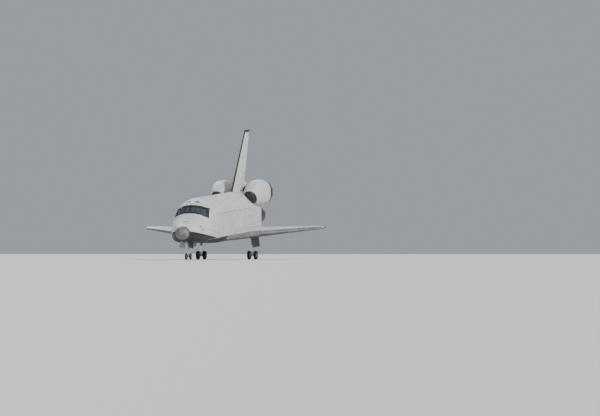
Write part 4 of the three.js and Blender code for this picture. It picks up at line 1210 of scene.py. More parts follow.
def makeWings():
    gap, depth = skin["gap"], wing["edgeDepth"]
    for tag, hand in hands.items():
        whole = loft("wingWhole", [wingRing(side, hand) for side in wingPlan["sides"]], materials["wing"])
        cut(whole, [hull("rootNose", noseRows, 300, skin["cabinBack"], 30, gap),
                    midHull("rootMid", skin["cabinBack"] - 1, skin["bayBack"] + 1, gap),
                    aftHull("rootAft", skin["bayBack"], skin["aftBack"], gap),
                    slab("rootUnder", wingPlan["bodySide"], hand)])
        edge = cut(copied(whole, "edge"), [edgeRegion("edgeSide", hand, depth)], "INTERSECT")
        edge.data.materials[0] = materials["carbon"]
        joints = seamPipes("edgeJoints", edgeSeams(hand), 0.3)
        settled(joinedPiece("wingEdge_" + tag, [edge, joints]), "leading_edge_" + tag)
        well = block("mainWheelWell", mainWell["stations"], toward(hand, mainWell["sides"]),
                     mainWell["heights"], materials["well"])
        cove = hingeLoft("cove", [86, 480], hand, elevon["gap"], 90 + elevon["upCut"],
                         270 - elevon["downCut"])
        main = cut(copied(whole, "main"), [edgeRegion("edgeRoom", hand, depth + 2 * gap), cove, well])
        ends = (elevon["splitIn"] + elevon["ribGap"], elevon["splitOut"] - elevon["ribGap"])
        cut(main, [elevonRib(hand, ends)], "UNION")
        joints = seamPipes("flipperJoints", flipperSeams(hand))
        settled(joinedPiece("wingMain_" + tag, [main, joints]), "wing_" + tag)
        makeElevons(whole, tag, hand, ends)
        bpy.data.objects.remove(whole)


# Aft fuselage with its plates and heat shield, the belly doors with their rooms and hinges, and the body flap
aft = {"end": 1520, "roomEnd": 1523, "shield": (1506, 1512), "shieldRoomEnd": 1540, "floorTop": 304,
       "shieldBox": (1500, 1520), "hole": 34, "gimbal": 6, "post": 9, "postStart": 1431, "frontWall": 5,
       "clear": 130, "top": 520}
# Plates inside it: stations, half width, heights, and the stations of the hull that trims them
aftPlates = {"thrustPlate": ((1424, 1432), 104, (290, 486), (1400, 1450)),
             "backPlate": ((1498, 1505), 103, (280, 303), (1490, 1510))}
umbilical = {"stations": (1317, 1369), "sides": (52, 97), "gap": 0.3, "hingeHeight": 269.6, "hinge": 1343,
             "half": 3, "reach": 7, "eye": 1.4, "eyeRoom": 1.8, "wall": 2, "foot": 2.4, "footTop": 273,
             "postSide": 49.2, "postTop": 276, "ribs": (1322, 1336, 1350, 1364), "ribHeight": 274.6,
             "ribSides": (56, 93), "heights": (250, 290), "skin": (1310, 1380), "inside": (1308, 1384)}
flap = {"hinge": 1532, "height": 288, "nose": 9.6, "gap": 0.7, "chord": 81, "trail": (-2.7, -0.3),
        "halfSpan": 120.7, "lugs": (-62, 62), "lugStart": 1500, "lugHalf": 4, "lugRise": 5,
        "lugRoom": (12, 6.5), "roomHeights": (250, 320)}
# Engines: gimbal station, side, height and tilt in degrees
engines = {"upper": (1445, 0, 443, 16), "left": (1468.2, 53, 342.6, 10), "right": (1468.2, -53, 342.6, 10)}


def enginePoint(name, along):
    station, side, height, tilt = engines[name]
    aftward, up = polar(along, tilt)
    return at(station + aftward, side, height + up)


def umbilicalRoom(name, hand, grow):
    (front, back), (inner, outer) = umbilical["stations"], umbilical["sides"]
    sides = toward(hand, (inner - grow, outer + grow))
    return block(name, (front - grow, back + grow), sides, umbilical["heights"])


def makeAft():
    clear, height = aft["clear"], flap["height"]
    shell = aftHull("aftShell", skin["bayBack"], aft["end"], 0, materials["body"])
    shieldRoom = (aft["shield"][0], aft["shieldRoomEnd"])
    rooms = [aftHull("aftRoom", skin["bayBack"] + aft["frontWall"], aft["roomEnd"], -skin["wall"] - 2),
             block("shieldRoom", shieldRoom, (-clear, clear), (aft["floorTop"], aft["top"])),
             crossBar("flapRoom", (-clear, clear), flap["hinge"], height, flap["nose"] + flap["gap"],
                      None, 64)]
    cut(shell, rooms + [umbilicalRoom("umbilicalRoom", hand, umbilical["gap"]) for hand in (1, -1)])
    inside, post = [], aft["post"]
    for name, (stations, half, heights, reach) in aftPlates.items():
        limit = aftHull("plateSide", *reach, -skin["wall"] + 1)
        inside.append(cut(block(name, stations, (-half, half), heights), [limit], "INTERSECT"))
    for station, side, middle, tilt in engines.values():
        back = station - aft["gimbal"] * math.sin(math.radians(tilt)) - skin["gap"]
        ends = (aft["postStart"], back)
        inside.append(block("thrustPost", ends, (side - post, side + post), (middle - post, middle + post)))
    for middle in flap["lugs"]:
        sides, rise = (middle - flap["lugHalf"], middle + flap["lugHalf"]), flap["lugRise"]
        lug = (flap["lugStart"], flap["hinge"])
        inside += [block("flapLug", lug, sides, (height - rise, height + rise)),
                   crossBar("flapEye", sides, flap["hinge"], height, rise)]
    inner, half, low = umbilical["sides"][0], umbilical["half"], umbilical["hingeHeight"]
    eye = (umbilical["hinge"] - half, umbilical["hinge"] + half)
    for hand in (1, -1):
        postSides = toward(hand, (umbilical["postSide"], inner - 0.6))
        inside += [longBar("doorEye", eye, hand * inner, low, umbilical["eye"]),
                   block("doorPost", within(eye), postSides, (low, umbilical["postTop"]))]
    cut(shell, inside, "UNION")
    settled(joinedPiece("aftShell", [shell] + aftTrim()), "aft_fuselage")
    shield = aftHull("heatShield", aft["shield"][0] + skin["gap"], aft["shield"][1], 0, materials["shield"])
    heights = (aft["floorTop"] + skin["gap"], aft["top"])
    cut(shield, [block("shieldTop", aft["shieldBox"], (-clear, clear), heights)], "INTERSECT")
    cut(shield, [rod("engineHole", enginePoint(name, 0), enginePoint(name, 90), aft["hole"], None, 96)
                 for name in engines])
    settled(shield, "base_heat_shield")


# Vent doors as station, height and half sizes, and the joint at the front of the aft fuselage
def aftTrim():
    lines = []
    for hand in (1, -1):
        for box in ((1350, 404, 9.5, 5.5), (1376, 404, 9.5, 5.5), (1440, 330, 26, 19), (1440, 330, 20, 14)):
            lines.append(flankBox(*box, hand))
        lines.append(flankLine([(1310, 300), (1310, 416)], hand, 30, False))
    return [seamPipes("aftSeams", lines)]


# Radius and distance aft of the gimbal: the dome behind the heat shield, then the bell out and back in
bellOutside = [(0, 0), (6, 0), (6, 3), (12, 4.6), (20, 8), (28, 12), (28, 40), (31, 43.4), (33.8, 46.4),
               (33.8, 67.4), (30.5, 72), (26.4, 76), (24.2, 80), (25.2, 84), (28.2, 92), (33.3, 106),
               (37.6, 120), (41, 134), (43.9, 147), (45.9, 158.4), (46.2, 160)]
bellInside = [(45.2, 160.0), (44.6, 158.4), (42.6, 147), (39.6, 134), (36, 120), (31.8, 106), (26.6, 92),
              (22.6, 84), (20, 79), (15, 72), (10, 65), (7, 60), (0, 60)]
bellLength = bellOutside[-1][1]
# Bands, lip and manifold round a bell: pipe radius, sides, how far they sink in, places along its axis
bands = {"bellBand": (0.55, 10, 0.14, (91, 99, 107, 115, 123, 131, 139, 147, 154)),
         "bellLip": (0.85, 12, 0.25, (158.6,)), "bellManifold": (2.2, 16, 0.65, (84,))}


def bellBands(start, end):
    turn = (end - start).to_track_quat("Z", "X").to_matrix()
    circle = [turn @ Vector((*polar(1, degrees), 0)) for degrees in range(0, 361, 5)]
    profile = [(along, radius) for radius, along in bellOutside]
    made = []
    for band, (pipe, sides, sunk, places) in bands.items():
        lines = []
        for along in places:
            middle, radius = start + (end - start) * along / bellLength, tableAt(profile, along)[1] - sunk
            lines.append([middle + spoke * radius * inch for spoke in circle])
        made.append(pipes(band, lines, pipe, materials["bell"], sides))
    return made


def makeEngines():
    rows = [(max(radius, 0.05), along / bellLength) for radius, along in bellOutside + bellInside]
    for name in engines:
        ends = enginePoint(name, 0), enginePoint(name, bellLength)
        bell = turnedBar("bell", *ends, rows, materials["bell"], 96, 40)
        settled(joinedPiece("bell_" + name, [bell] + bellBands(*ends)), "main_engine_" + name)


# Pods for the small engines: station, middle side, half width, middle height, half height
podRows = [(1310, 86, 10, 478, 12), (1322, 87, 24, 482, 27), (1345, 88, 35, 485, 41), (1385, 89, 45, 488, 54),
           (1430, 90, 53, 490, 62), (1480, 91, 59, 491, 66), (1530, 92, 62, 491, 66), (1560, 92, 60, 490, 62)]
pod = {"sides": 96, "squareness": 0.8, "gap": 0.03, "nozzle": (1520, 90, 480), "out": 6.5, "up": 12,
       "pocket": 26, "front": 1512, "port": 4.4, "backPorts": ((127, 481), (127, 500), (143, 481)),
       "box": ((1520, 1572), (118, 152), (470, 512)),
       "sidePorts": ((1529, 480), (1529, 500), (1543, 480), (1543, 500)), "topPorts": (1525, 1538, 1551),
       "portCut": (9, 2, [(0.45, 0), (0.8, 0.4), (1, 0.82), (1, 1)], 32), "shieldEnd": 1580,
       "shieldSides": (-62, 62), "shieldHeights": (380, 600)}
podBellRows = [(0.05, 0), (9, 0), (9, 10), (6, 14), (8, 17), (10, 20), (12.6, 26), (14.5, 32), (16.7, 41),
               (18.5, 50), (20.2, 60), (21.6, 70), (20.8, 70), (19.2, 60), (17.4, 50), (15.5, 41), (13.2, 32),
               (11.2, 26), (8.6, 20), (4, 14), (0.05, 12)]
podBellLength = 70


def podPoint(hand, along):
    station, side, height = pod["nozzle"]
    up, out = math.radians(pod["up"]), math.radians(pod["out"])
    line = Vector((math.cos(up), math.sin(out), math.sin(up))).normalized() * along
    return at(station + line.x, hand * (side + line.y), height + line.z)


# Thruster nozzles on the outer face, the back and the top of a pod
def podPorts(hand):
    (_, back), (_, outer), _ = pod["box"]
    sideways = turnCraft @ Vector((0, hand, 0))
    found = [(at(station, hand * outer, height), sideways, pod["port"])
             for station, height in pod["sidePorts"]]
    aftward = turnCraft @ Vector((-1, 0, 0))
    found += [(at(back, hand * side, height), aftward, pod["port"]) for side, height in pod["backPorts"]]
    share = 0.5 ** (pod["squareness"] / 2)
    for station in pod["topPorts"]:
        _, side, half, height, rise = tableAt(podRows, station)
        top = at(station, hand * (side + half * share), height + rise * share)
        found.append((top, turnCraft @ Vector((0, hand, 1)).normalized(), pod["port"]))
    return portCutters(found, *pod["portCut"])


def makePods():
    spokes = [polar(1, 360 * (i + 0.5) / pod["sides"]) for i in range(pod["sides"])]
    circle = [[bowed(part, pod["squareness"]) for part in spoke] for spoke in spokes]
    for tag, hand in hands.items():
        rings = []
        for station, side, half, height, rise in rowsBetween(podRows, podRows[0][0], podRows[-1][0], 40):
            rings.append([at(station, hand * (side + half * across), height + rise * up)
                          for across, up in circle])
        shell = loft("podShell_" + tag, rings, materials["pod"])
        stations, sides, heights = pod["box"]
        cut(shell, [block("thrusterBox", stations, toward(hand, sides), heights)], "UNION")
        behind = (pod["front"] + skin["gap"], pod["shieldEnd"])
        cut(shell, [aftHull("podSeat", skin["bayBack"], skin["aftBack"], pod["gap"]),
                    aftHull("podBack", pod["front"], skin["aftBack"], 3),
                    rod("pocket", podPoint(hand, -skin["gap"]), podPoint(hand, 80), pod["pocket"], None, 96),
                    block("podShieldSide", behind, pod["shieldSides"], pod["shieldHeights"]),
                    midHull("podFrontSeat", skin["cabinBack"] + 0.1, skin["bayBack"] - 0.1, 1)])
        settled(cut(shell, podPorts(hand)), "thruster_pod_" + tag)
        rows = [(radius, along / podBellLength) for radius, along in podBellRows]
        bell = turnedBar("podBell_" + tag, podPoint(hand, 0), podPoint(hand, podBellLength), rows,
                         materials["bell"], 96, 40)
        settled(bell, "pod_nozzle_" + tag)


# Fin: share of the chord and of the half thickness, thickest at the rudder's hinge
fin = {"root": 496, "tip": 816, "rootLead": 1274, "rootTrail": 1544.5, "trailSlope": 0.492, "hingeAt": 0.6,
       "halfShare": 0.0525, "cutLow": 586.2, "cutHigh": 787.3, "room": 0.7, "stretch": 1.218,
       "roomDepth": 320, "roomHalf": 40, "tipRound": 3, "foot": (573, 596), "footRadius": 3,
       "frontEnd": ((1270, 1306), (-60, 60), (480, 506)), "chuteRoom": 640}
finShares = [(0, 0.06), (0.003, 0.13), (0.007, 0.18), (0.012, 0.22), (0.028, 0.325), (0.05, 0.4),
             (0.09, 0.49), (0.15, 0.6), (0.24, 0.725), (0.35, 0.83), (0.48, 0.93), (0.6, 1), (1, 0.07)]
chute = {"start": (1484, 0, 527), "end": (1562, 0, 535),
         "rows": [(15.6, 0), (17, 0.02), (15.1, 0.97), (14.6, 0.99), (13.4, 1)]}


# Leading edge, chord and half thickness of the fin at a height
def finSize(height):
    rise = height - fin["root"]
    lead = fin["rootLead"] + rise
    chord = fin["rootTrail"] + rise * fin["trailSlope"] - lead
    return lead, chord, chord * fin["halfShare"]


def finRing(height, grow=0.0, slim=1.0):
    lead, chord, half = finSize(height)
    port = [(lead + chord * share + (grow if share == 1 else 0), half * slim * thick + grow)
            for share, thick in finShares]
    return [at(station, side, height) for station, side in port + [(a, -b) for a, b in reversed(port)]]


def onFinHinge(height):
    lead, chord, _ = finSize(height)
    return at(lead + chord * fin["hingeAt"], 0, height)


def rudderRoom():
    rings, side = [], fin["roomHalf"]
    for height in (fin["cutLow"], fin["cutHigh"]):
        lead, chord, half = finSize(height)
        front = lead + chord * fin["hingeAt"] - fin["stretch"] * (half + fin["room"]) - fin["room"]
        back = front + fin["roomDepth"]
        rings.append([at(*corner, height)
                      for corner in ((front, -side), (back, -side), (back, side), (front, side))])
    return loft("rudderRoom", rings)


def bellRoom():
    ends = enginePoint("upper", 66), enginePoint("upper", 170)
    return turnedBar("bellRoom", *ends, [(37, 0), (52, 1)], None, 64)


def makeFin():
    roundStart, gap = fin["tip"] - fin["tipRound"], pod["gap"]
    rings = [finRing(fin["root"]), finRing(roundStart)]
    for angle in (0.4, 0.75, 1.1, 1.35):
        rings.append(finRing(roundStart + fin["tipRound"] * math.sin(angle), 0, math.cos(angle) ** 0.5))
    shell = loft("finShell", rings + [finRing(fin["tip"], 0, 0.3)], materials["fin"])
    # the foot's hole clears the corners of the tube's pin, which has 20 sides
    hole = (fin["footRadius"] + hinge["gap"]) / math.cos(math.pi / 20)
    cut(shell, [rudderRoom(), aftHull("finSeat", skin["bayBack"], skin["aftBack"], gap), bellRoom(),
                rod("footHole", *[onFinHinge(height) for height in fin["foot"]], hole, None, 40),
                midHull("finFrontSeat", skin["cabinBack"] + 0.1, skin["bayBack"] - 0.1, gap),
                block("finFrontEnd", *fin["frontEnd"])])
    settled(shell, "vertical_fin")
    housing = turnedBar("chuteHousing", at(*chute["start"]), at(*chute["end"]), chute["rows"],
                        materials["white"], 96)
    room = loft("finRoom", [finRing(height, skin["gap"]) for height in (fin["root"], fin["chuteRoom"])])
    cut(housing, [room, aftHull("chuteSeat", skin["bayBack"], skin["aftBack"], gap), bellRoom()])
    settled(housing, "drag_chute_housing")


def makeFlap():
    nose, trail = flap["nose"], flap["trail"]
    outline = [polar(nose, 90 + 5 * i) for i in range(37)] + [(flap["chord"], up) for up in trail]
    shape = loft("bodyFlap", [[at(flap["hinge"] + back, side, flap["height"] + up) for back, up in outline]
                              for side in (-flap["halfSpan"], flap["halfSpan"])], materials["black"])
    ahead, behind = flap["lugRoom"]
    half, stations = flap["lugHalf"] + hinge["gap"], (flap["hinge"] - ahead, flap["hinge"] + behind)
    cut(shape, [block("lugRoom", stations, (middle - half, middle + half), flap["roomHeights"])
                for middle in flap["lugs"]])
    settled(shape, "body_flap")


# Wheels: the tyre's grooves are distances out from its middle, and spread is from tyre to tyre
mainWheel = {"station": 1172, "side": 136, "radius": 22.25, "width": 16, "spread": 35, "axle": 3, "foot": 7,
             "bolts": 18, "ground": 159, "grooves": (-4.6, -1.6, 1.6, 4.6)}
noseWheel = {"station": 377, "side": 0, "radius": 16, "width": 8.8, "spread": 22, "axle": 1.8, "foot": 4.5,
             "bolts": 12, "ground": 200.7, "grooves": (-2.2, 0, 2.2)}
for gear in (mainWheel, noseWheel):
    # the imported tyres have 16 sides and stand on a flat one
    gear["hub"] = gear["ground"] + gear["radius"] * math.cos(math.pi / 16)
    gear["rim"] = gear["radius"] * 0.5
    gear["near"], gear["far"] = [gear["spread"] / 2 + out * gear["width"] * 0.31 for out in (-1, 1)]
grooveRows = ((0, -0.32), (0.3, -0.2), (0.3, 0.2), (0, 0.32))
# The tyre's flank: radius and half width as shares of the whole, from the rim to the shoulder
tyreFlank = [(0.62, 0.87), (0.7, 0.955), (0.78, 0.985), (0.85, 0.955), (0.91, 0.88), (0.955, 0.76),
             (0.983, 0.6), (0.997, 0.45)]


def tyreRows(gear, radius):
    half, rim = gear["width"] / 2, gear["rim"]
    rows = [(rim, -half * 0.69), (rim * 1.04, -half * 0.74)]
    rows += [(radius * share, -half * width) for share, width in tyreFlank]
    tread = [(radius, -half * 0.4)]
    for groove in gear["grooves"]:
        tread += [(radius - deep, groove + along) for deep, along in grooveRows]
    tread.append((radius, half * 0.4))
    return rows + tread + [(r, -along) for r, along in reversed(rows)]


# Out is 1 for the wheel to port. The web is dished on the outer face
def rimRows(gear, out):
    rim, near, far, axle = gear["rim"] - skin["gap"], gear["near"], gear["far"], gear["axle"]
    rows = [(axle * 1.78, near + 0.5), (rim * 0.62, near + 0.3), (rim * 0.84, near), (rim * 0.97, near),
            (rim, near + 0.3), (rim, far - 0.3), (rim * 0.97, far), (rim * 0.9, far), (rim * 0.86, far - 0.5),
            (rim * 0.84, far - 2.2), (rim * 0.78, far - 2.8), (rim * 0.62, far - 2.3), (rim * 0.5, far - 1.5),
            (axle * 1.6, far - 1.5)]
    return [(r, along * out) for r, along in rows]


# A ring turned about the side axis of the craft, through rows of radius and distance to port
def closedTurn(name, middle, rows, material, sides, flat):
    count = len(rows)
    verts, faces = [], []
    for i in range(sides):
        ahead, up = polar(1, 360 * i / sides)
        verts += [middle + turnCraft @ Vector((ahead * r, along, up * r)) * inch for r, along in rows]
        for j in range(count):
            a, b = i * count + j, i * count + (j + 1) % count
            faces.append([a, b, (b + count) % (count * sides), (a + count) % (count * sides)])
    return meshPiece(name, verts, faces, material, flat)


# A Geometry Nodes tree with a mesh and some values coming in; the builder's shape is made real and painted
def growTree(name, inputs, build):
    tree = bpy.data.node_groups.new(name, "GeometryNodeTree")
    tree.is_modifier = True
    tree.interface.new_socket("Geometry", in_out="INPUT", socket_type="NodeSocketGeometry")
    for label, kind in inputs + (("Paint", "Material"),):
        tree.interface.new_socket(label, in_out="INPUT", socket_type="NodeSocket" + kind)
    tree.interface.new_socket("Geometry", in_out="OUTPUT", socket_type="NodeSocketGeometry")
    board = Board(tree)
    given = board.values(board.add("NodeGroupInput"))
    real = board.made("GeometryNodeRealizeInstances", {0: build(board, given)})
    shape = board.made("GeometryNodeSetMaterial", {"Geometry": real, "Material": given["Paint"]})
    board.feed(board.add("NodeGroupOutput").inputs[0], shape)
    return tree


# One small round bar copied on points round a circle
def ringShape(board, given):
    circle = board.made("GeometryNodeMeshCircle", {
        "Vertices": given["Count"], "Radius": given["Ring radius"]})
    stud = board.made("GeometryNodeMeshCylinder", {
        "Vertices": given["Copy sides"], "Radius": given["Copy radius"], "Depth": given["Copy depth"]})
    return board.made("GeometryNodeInstanceOnPoints", {"Points": circle, "Instance": stud})


# A round pipe along every edge line of the given mesh
def pipeShape(board, given):
    line = board.made("GeometryNodeMeshToCurve", {0: given["Geometry"]})
    section = board.made("GeometryNodeCurvePrimitiveCircle", {
        "Resolution": given["Pipe sides"], "Radius": given["Pipe radius"]})
    return board.made("GeometryNodeCurveToMesh", {0: line, 1: section, "Fill Caps": True})


trees = {
    "ring": growTree("ringOfCopies", (("Count", "Int"), ("Ring radius", "Float"), ("Copy radius", "Float"),
                                      ("Copy depth", "Float"), ("Copy sides", "Int")), ringShape),
    "pipe": growTree("pipeAlong", (("Pipe radius", "Float"), ("Pipe sides", "Int")), pipeShape)}


# Runs a tree on a mesh and keeps the result as a plain mesh
def grown(name, tree, verts, edges, matrix=None, **values):
    mesh = bpy.data.meshes.new(name)
    mesh.from_pydata([tuple(v) for v in verts], edges, [])
    piece = linked(name, mesh)
    step = piece.modifiers.new("grow", "NODES")
    step.node_group = trees[tree]
    sockets = {item.name: item.identifier for item in trees[tree].interface.items_tree
               if item.in_out == "INPUT"}
    for label, value in values.items():
        step[sockets[label.replace("_", " ")]] = value
    bpy.context.view_layer.update()
    baked(piece)
    if matrix:
        piece.data.transform(matrix)
    outward(piece.data)
    smooth(piece.data, 35)
    return piece


def pipes(name, lines, radius, material, sides=10):
    verts, edges = [], []
    for line in lines:
        start = len(verts)
        verts += line
        edges += [(start + i, start + i + 1) for i in range(len(line) - 1)]
    return grown(name, "pipe", verts, edges, Pipe_radius=radius * inch, Pipe_sides=sides, Paint=material)


def ringOf(name, middle, direction, count, ringRadius, copyRadius, depth, material, sides):
    turn = Matrix.Translation(middle) @ direction.to_track_quat("Z", "X").to_matrix().to_4x4()
    return grown(name, "ring", [(0, 0, 0)], [], turn, Count=count, Ring_radius=ringRadius * inch,
                 Copy_radius=copyRadius * inch, Copy_depth=depth * inch, Copy_sides=sides, Paint=material)


def makeWheelSet(gear, side, axleNode, tyreNodes):
    middle, toPort = at(gear["station"], side, gear["hub"]), turnCraft @ Vector((0, 1, 0))
    rim, axle, reach = gear["rim"], gear["axle"], gear["far"] - 1.5

    def out(distance):
        return middle + toPort * distance * inch

    pieces = [rod("axle", out(0.4 - reach), out(reach - 0.4), axle, materials["chrome"], 48)]
    for hand, tyreNode in zip((1, -1), tyreNodes):
        wheel = closedTurn("wheel", middle, rimRows(gear, hand), materials["rim"], 96, 30)
        near, far = gear["near"] * hand, gear["far"] * hand
        cut(wheel, [ringOf("lightHoles", out(far - 2.5 * hand), toPort, 9, rim * 0.69, rim * 0.085, 9,
                           materials["rim"], 20)])
        cap = [(axle * 1.5, 0), (axle * 1.5, 0.75), (axle * 1.3, 0.92), (axle * 0.9, 1)]
        brake = [(rim * 0.74, 0), (rim * 0.78, 0.1), (rim * 0.78, 0.9), (rim * 0.7, 1)]
        pieces += [
            wheel,
            ringOf("wheelBolts", out(far - 1.75 * hand), toPort, gear["bolts"], rim * 0.52, rim * 0.028, 0.9,
                   materials["chrome"], 6),
            turnedBar("hubCap", out((reach - 1.2) * hand), out((reach + 1) * hand), cap,
                      materials["rim"], 48),
            turnedBar("brakePack", out(near + 0.5 * hand), out(near + gear["width"] * 0.26 * hand), brake,
                      materials["gear"], 48)]
        # the tread just reaches the floor
        rows = tyreRows(gear, middle.z / inch - skin["gap"])
        tyre = closedTurn(tyreNode + "_tread", out(gear["spread"] / 2 * hand), rows,
                          materials["rubber"], 112, 50)
        settled(tyre, tyreNode)
    settled(joinedPiece(axleNode + "_set", pieces), axleNode)


def makeWheels():
    for tag, hand in hands.items():
        tyres = ["main_tyre_" + place + "_" + tag for place in ("outer", "inner")[::hand]]
        makeWheelSet(mainWheel, hand * mainWheel["side"], "main_wheels_" + tag, tyres)
    makeWheelSet(noseWheel, noseWheel["side"], "nose_wheels", ["nose_tyre_left", "nose_tyre_right"])


# Landing gear legs, as heights and distances in inches. Rows are radius and share of the way
mainLeg = {
    "roof": 312, "sleeveEnd": 232, "pistonTop": 234, "braceAhead": 92, "braceFoot": 244, "linkBack": 12,
    "linkHeight": 208, "sideBrace": 18, "sideBraceFoot": 248,
    "sleeve": [(7.4, 0), (7.4, 0.2), (6.6, 0.215), (6.6, 0.72), (7.4, 0.735), (7.4, 0.8), (6.7, 0.815),
               (6.7, 0.95), (7.2, 0.957), (7.2, 0.99), (6.6, 1)],
    "housing": [(5.4, 0), (6, 0.06), (6, 0.2), (5.2, 0.24), (5.2, 0.76), (6, 0.8), (6, 0.94), (5.4, 1)],
    "brace": [(2.9, 0), (2.9, 0.46), (2.9, 0.48), (2.4, 0.49), (2.4, 0.93), (2.9, 0.94), (2.9, 1)],
    "collar": [(3, 0), (3.6, 0.12), (3.6, 0.88), (3, 1)],
    "sideRows": [(2.5, 0), (2.5, 0.55), (2.0, 0.57), (2.0, 0.92), (2.5, 0.94), (2.5, 1)],
    "hose": [(9.9, 300), (10.9, 280), (10.7, 258), (11.5, 240), (12.7, 224), (10.7, 208), (7.9, 194)],
    "hoseSide": 5.2, "hoseEnd": (4.0, 5.6)}
noseLeg = {
    "roof": 336, "split": 246, "sleeveEnd": 238, "braceAt": 256, "lampAt": 262, "linkKnee": (230, 8),
    "sleeve": [(4.6, 0), (5, 0.008), (5, 0.09), (4.4, 0.1), (4.4, 0.5), (5, 0.51), (5, 0.56), (4.4, 0.57),
               (4.4, 1)],
    "brace": [(2.1, 0), (2.1, 0.5), (1.7, 0.51), (1.7, 0.95), (2.1, 0.96), (2.1, 1)],
    "lamp": [(1.9, 0), (2.1, 0.08), (2.1, 0.4), (1.2, 0.95), (0.7, 1)],
    "collar": [(4.6, 0), (5, 0.07), (5, 0.4), (4.5, 0.46), (4.5, 0.54), (5, 0.6), (5, 0.95), (4.8, 1)],
    "housing": [(3.6, 0), (4, 0.06), (4, 0.94), (3.6, 1)]}


# A block between stations, sides and heights, with rounded edges
def plate(name, stations, sides, heights, ease=0.35):
    piece = block(name, stations, sides, heights, materials["gear"])
    soft = piece.modifiers.new("soft", "BEVEL")
    soft.width, soft.segments, soft.limit_method = ease * inch, 3, "ANGLE"
    return baked(piece, 30)


def makeMainLegs():
    look, bright, leg = materials["gear"], materials["chrome"], mainLeg
    station, axle, foot = mainWheel["station"], mainWheel["hub"], mainWheel["foot"]
    roof = leg["roof"] - skin["gap"]
    for tag, hand in hands.items():
        side = hand * mainWheel["side"]
        link, toPort = at(station + leg["linkBack"], side, leg["linkHeight"]), Vector((0, inch, 0))
        sleeveEnds = at(station + 6, side, roof - 1), at(station + 2, side, leg["sleeveEnd"])
        braceEnds = at(station - leg["braceAhead"], side, roof - 5), at(station + 1, side, leg["braceFoot"])
        collarEnds = at(station - 48, side, 276.7), at(station - 43, side, 273.3)
        housingEnds = at(station, side - foot, axle), at(station, side + foot, axle)
        pieces = [
            turnedBar("legSleeve", *sleeveEnds, leg["sleeve"], look, 64),
            rod("legPiston", at(station + 2, side, leg["pistonTop"]), at(station, side, axle), 4.5,
                bright, 64),
            turnedBar("axleHousing", *housingEnds, leg["housing"], look, 64),
            plate("legBeam", (station - 2, station + 14), (side - 20, side + 20), (roof - 7, roof)),
            plate("braceBeam", (station - 100, station - 86), (side - 8, side + 8), (roof - 9, roof)),
            turnedBar("dragBrace", *braceEnds, leg["brace"], look, 32),
            turnedBar("braceCollar", *collarEnds, leg["collar"], look),
            plate("uplockPost", (station + 4, station + 9), (side - 2, side + 2), (197, 240), 0.5),
            tube("linkLower", at(station, side, axle + 6), link, 1.7, look),
            tube("linkUpper", link, at(station + 4, side, 236), 1.7, look),
            tube("linkPin", link - toPort * 2.6, link + toPort * 2.6, 1.4, bright)]
        hoses = []
        for away in (-1, 1):
            start = at(station + 4, side + leg["sideBrace"] * away, roof - 4)
            end = at(station + 3, side + 3 * away, leg["sideBraceFoot"])
            pieces.append(turnedBar("sideBrace", start, end, leg["sideRows"], look, 32))
            behind, above = leg["hoseEnd"]
            hoses.append([at(station + back, side + leg["hoseSide"] * away, height)
                          for back, height in leg["hose"] + [(behind, axle + above)]])
        pieces.append(pipes("brakeHoses", hoses, 0.42, materials["rubber"], 12))
        settled(joinedPiece("mainLegSet_" + tag, pieces), "main_leg_" + tag)


# The nose leg stands plumb, so its places are given by height and by distance behind its axis
def onNoseLeg(height, back=0.0, side=0.0):
    return at(noseWheel["station"] + (height - noseWheel["hub"]) * math.tan(parkedPitch) + back, side, height)


def makeNoseLeg():
    look, leg, axle, foot = materials["gear"], noseLeg, noseWheel["hub"], noseWheel["foot"]
    station, roof = noseWheel["station"], leg["roof"] - skin["gap"]
    mount = station + (roof - axle) * math.tan(parkedPitch)
    sleeveEnds = onNoseLeg(leg["split"] + hinge["gap"]), onNoseLeg(roof - 0.5)
    pieces = [turnedBar("noseSleeve", *sleeveEnds, leg["sleeve"], look, 64),
              plate("noseBeam", (mount - 6, mount + 6), (-18, 18), (roof - 7, roof)),
              plate("noseBraceBeam", (station - 72, station - 62), (-14, 14), (roof - 6, roof))]
    for away in (-1, 1):
        braceEnds = onNoseLeg(leg["braceAt"], -1), at(station - 66, 9 * away, roof - 3)
        lampEnds = [onNoseLeg(leg["lampAt"], back, 4.2 * away) for back in (-6.2, -2.4)]
        pieces += [turnedBar("noseBrace", *braceEnds, leg["brace"], look, 32),
                   turnedBar("landingLamp", *lampEnds, leg["lamp"], look, 32)]
    settled(joinedPiece("noseLegSet", pieces), "nose_leg")
    split, knee = onNoseLeg(leg["split"]), onNoseLeg(*leg["linkKnee"])
    steered = [
        rod("nosePiston", onNoseLeg(axle), split, 3.3, materials["chrome"], 64),
        turnedBar("steeringCollar", onNoseLeg(leg["sleeveEnd"]), split, leg["collar"], look, 64),
        turnedBar("noseAxleHousing", at(station, -foot, axle), at(station, foot, axle), leg["housing"],
                  look, 64),
        tube("noseLinkLower", onNoseLeg(axle + 3), knee, 1.15, look),
        tube("noseLinkUpper", knee, onNoseLeg(242, 2), 1.15, look)]
    settled(joinedPiece("noseSteeringSet", steered), "nose_leg_steering")


# Gear doors: tiled outside, painted inside with a frame of ribs
def paintedDoor(name, rings, hand, ribs, ribRadius):
    door = loft(name, rings, materials["black"])
    door.data.materials.append(materials["gear"])
    for face in door.data.polygons:
        if (turnCraft.inverted().to_3x3() @ face.normal).y * hand < -0.2:
            face.material_index = 1
    return joinedPiece(name, [door, pipes("doorRibs", ribs, ribRadius, materials["gear"])])


# A gear door's thickness, spread and thickness at its foot, heights, and where its ribs lie inside it
gearDoor = {"thick": 2.4, "spread": 4, "footThick": 2, "top": 289, "knee": 274, "low": 226, "inside": 2.5,
            "lean": 4.4}


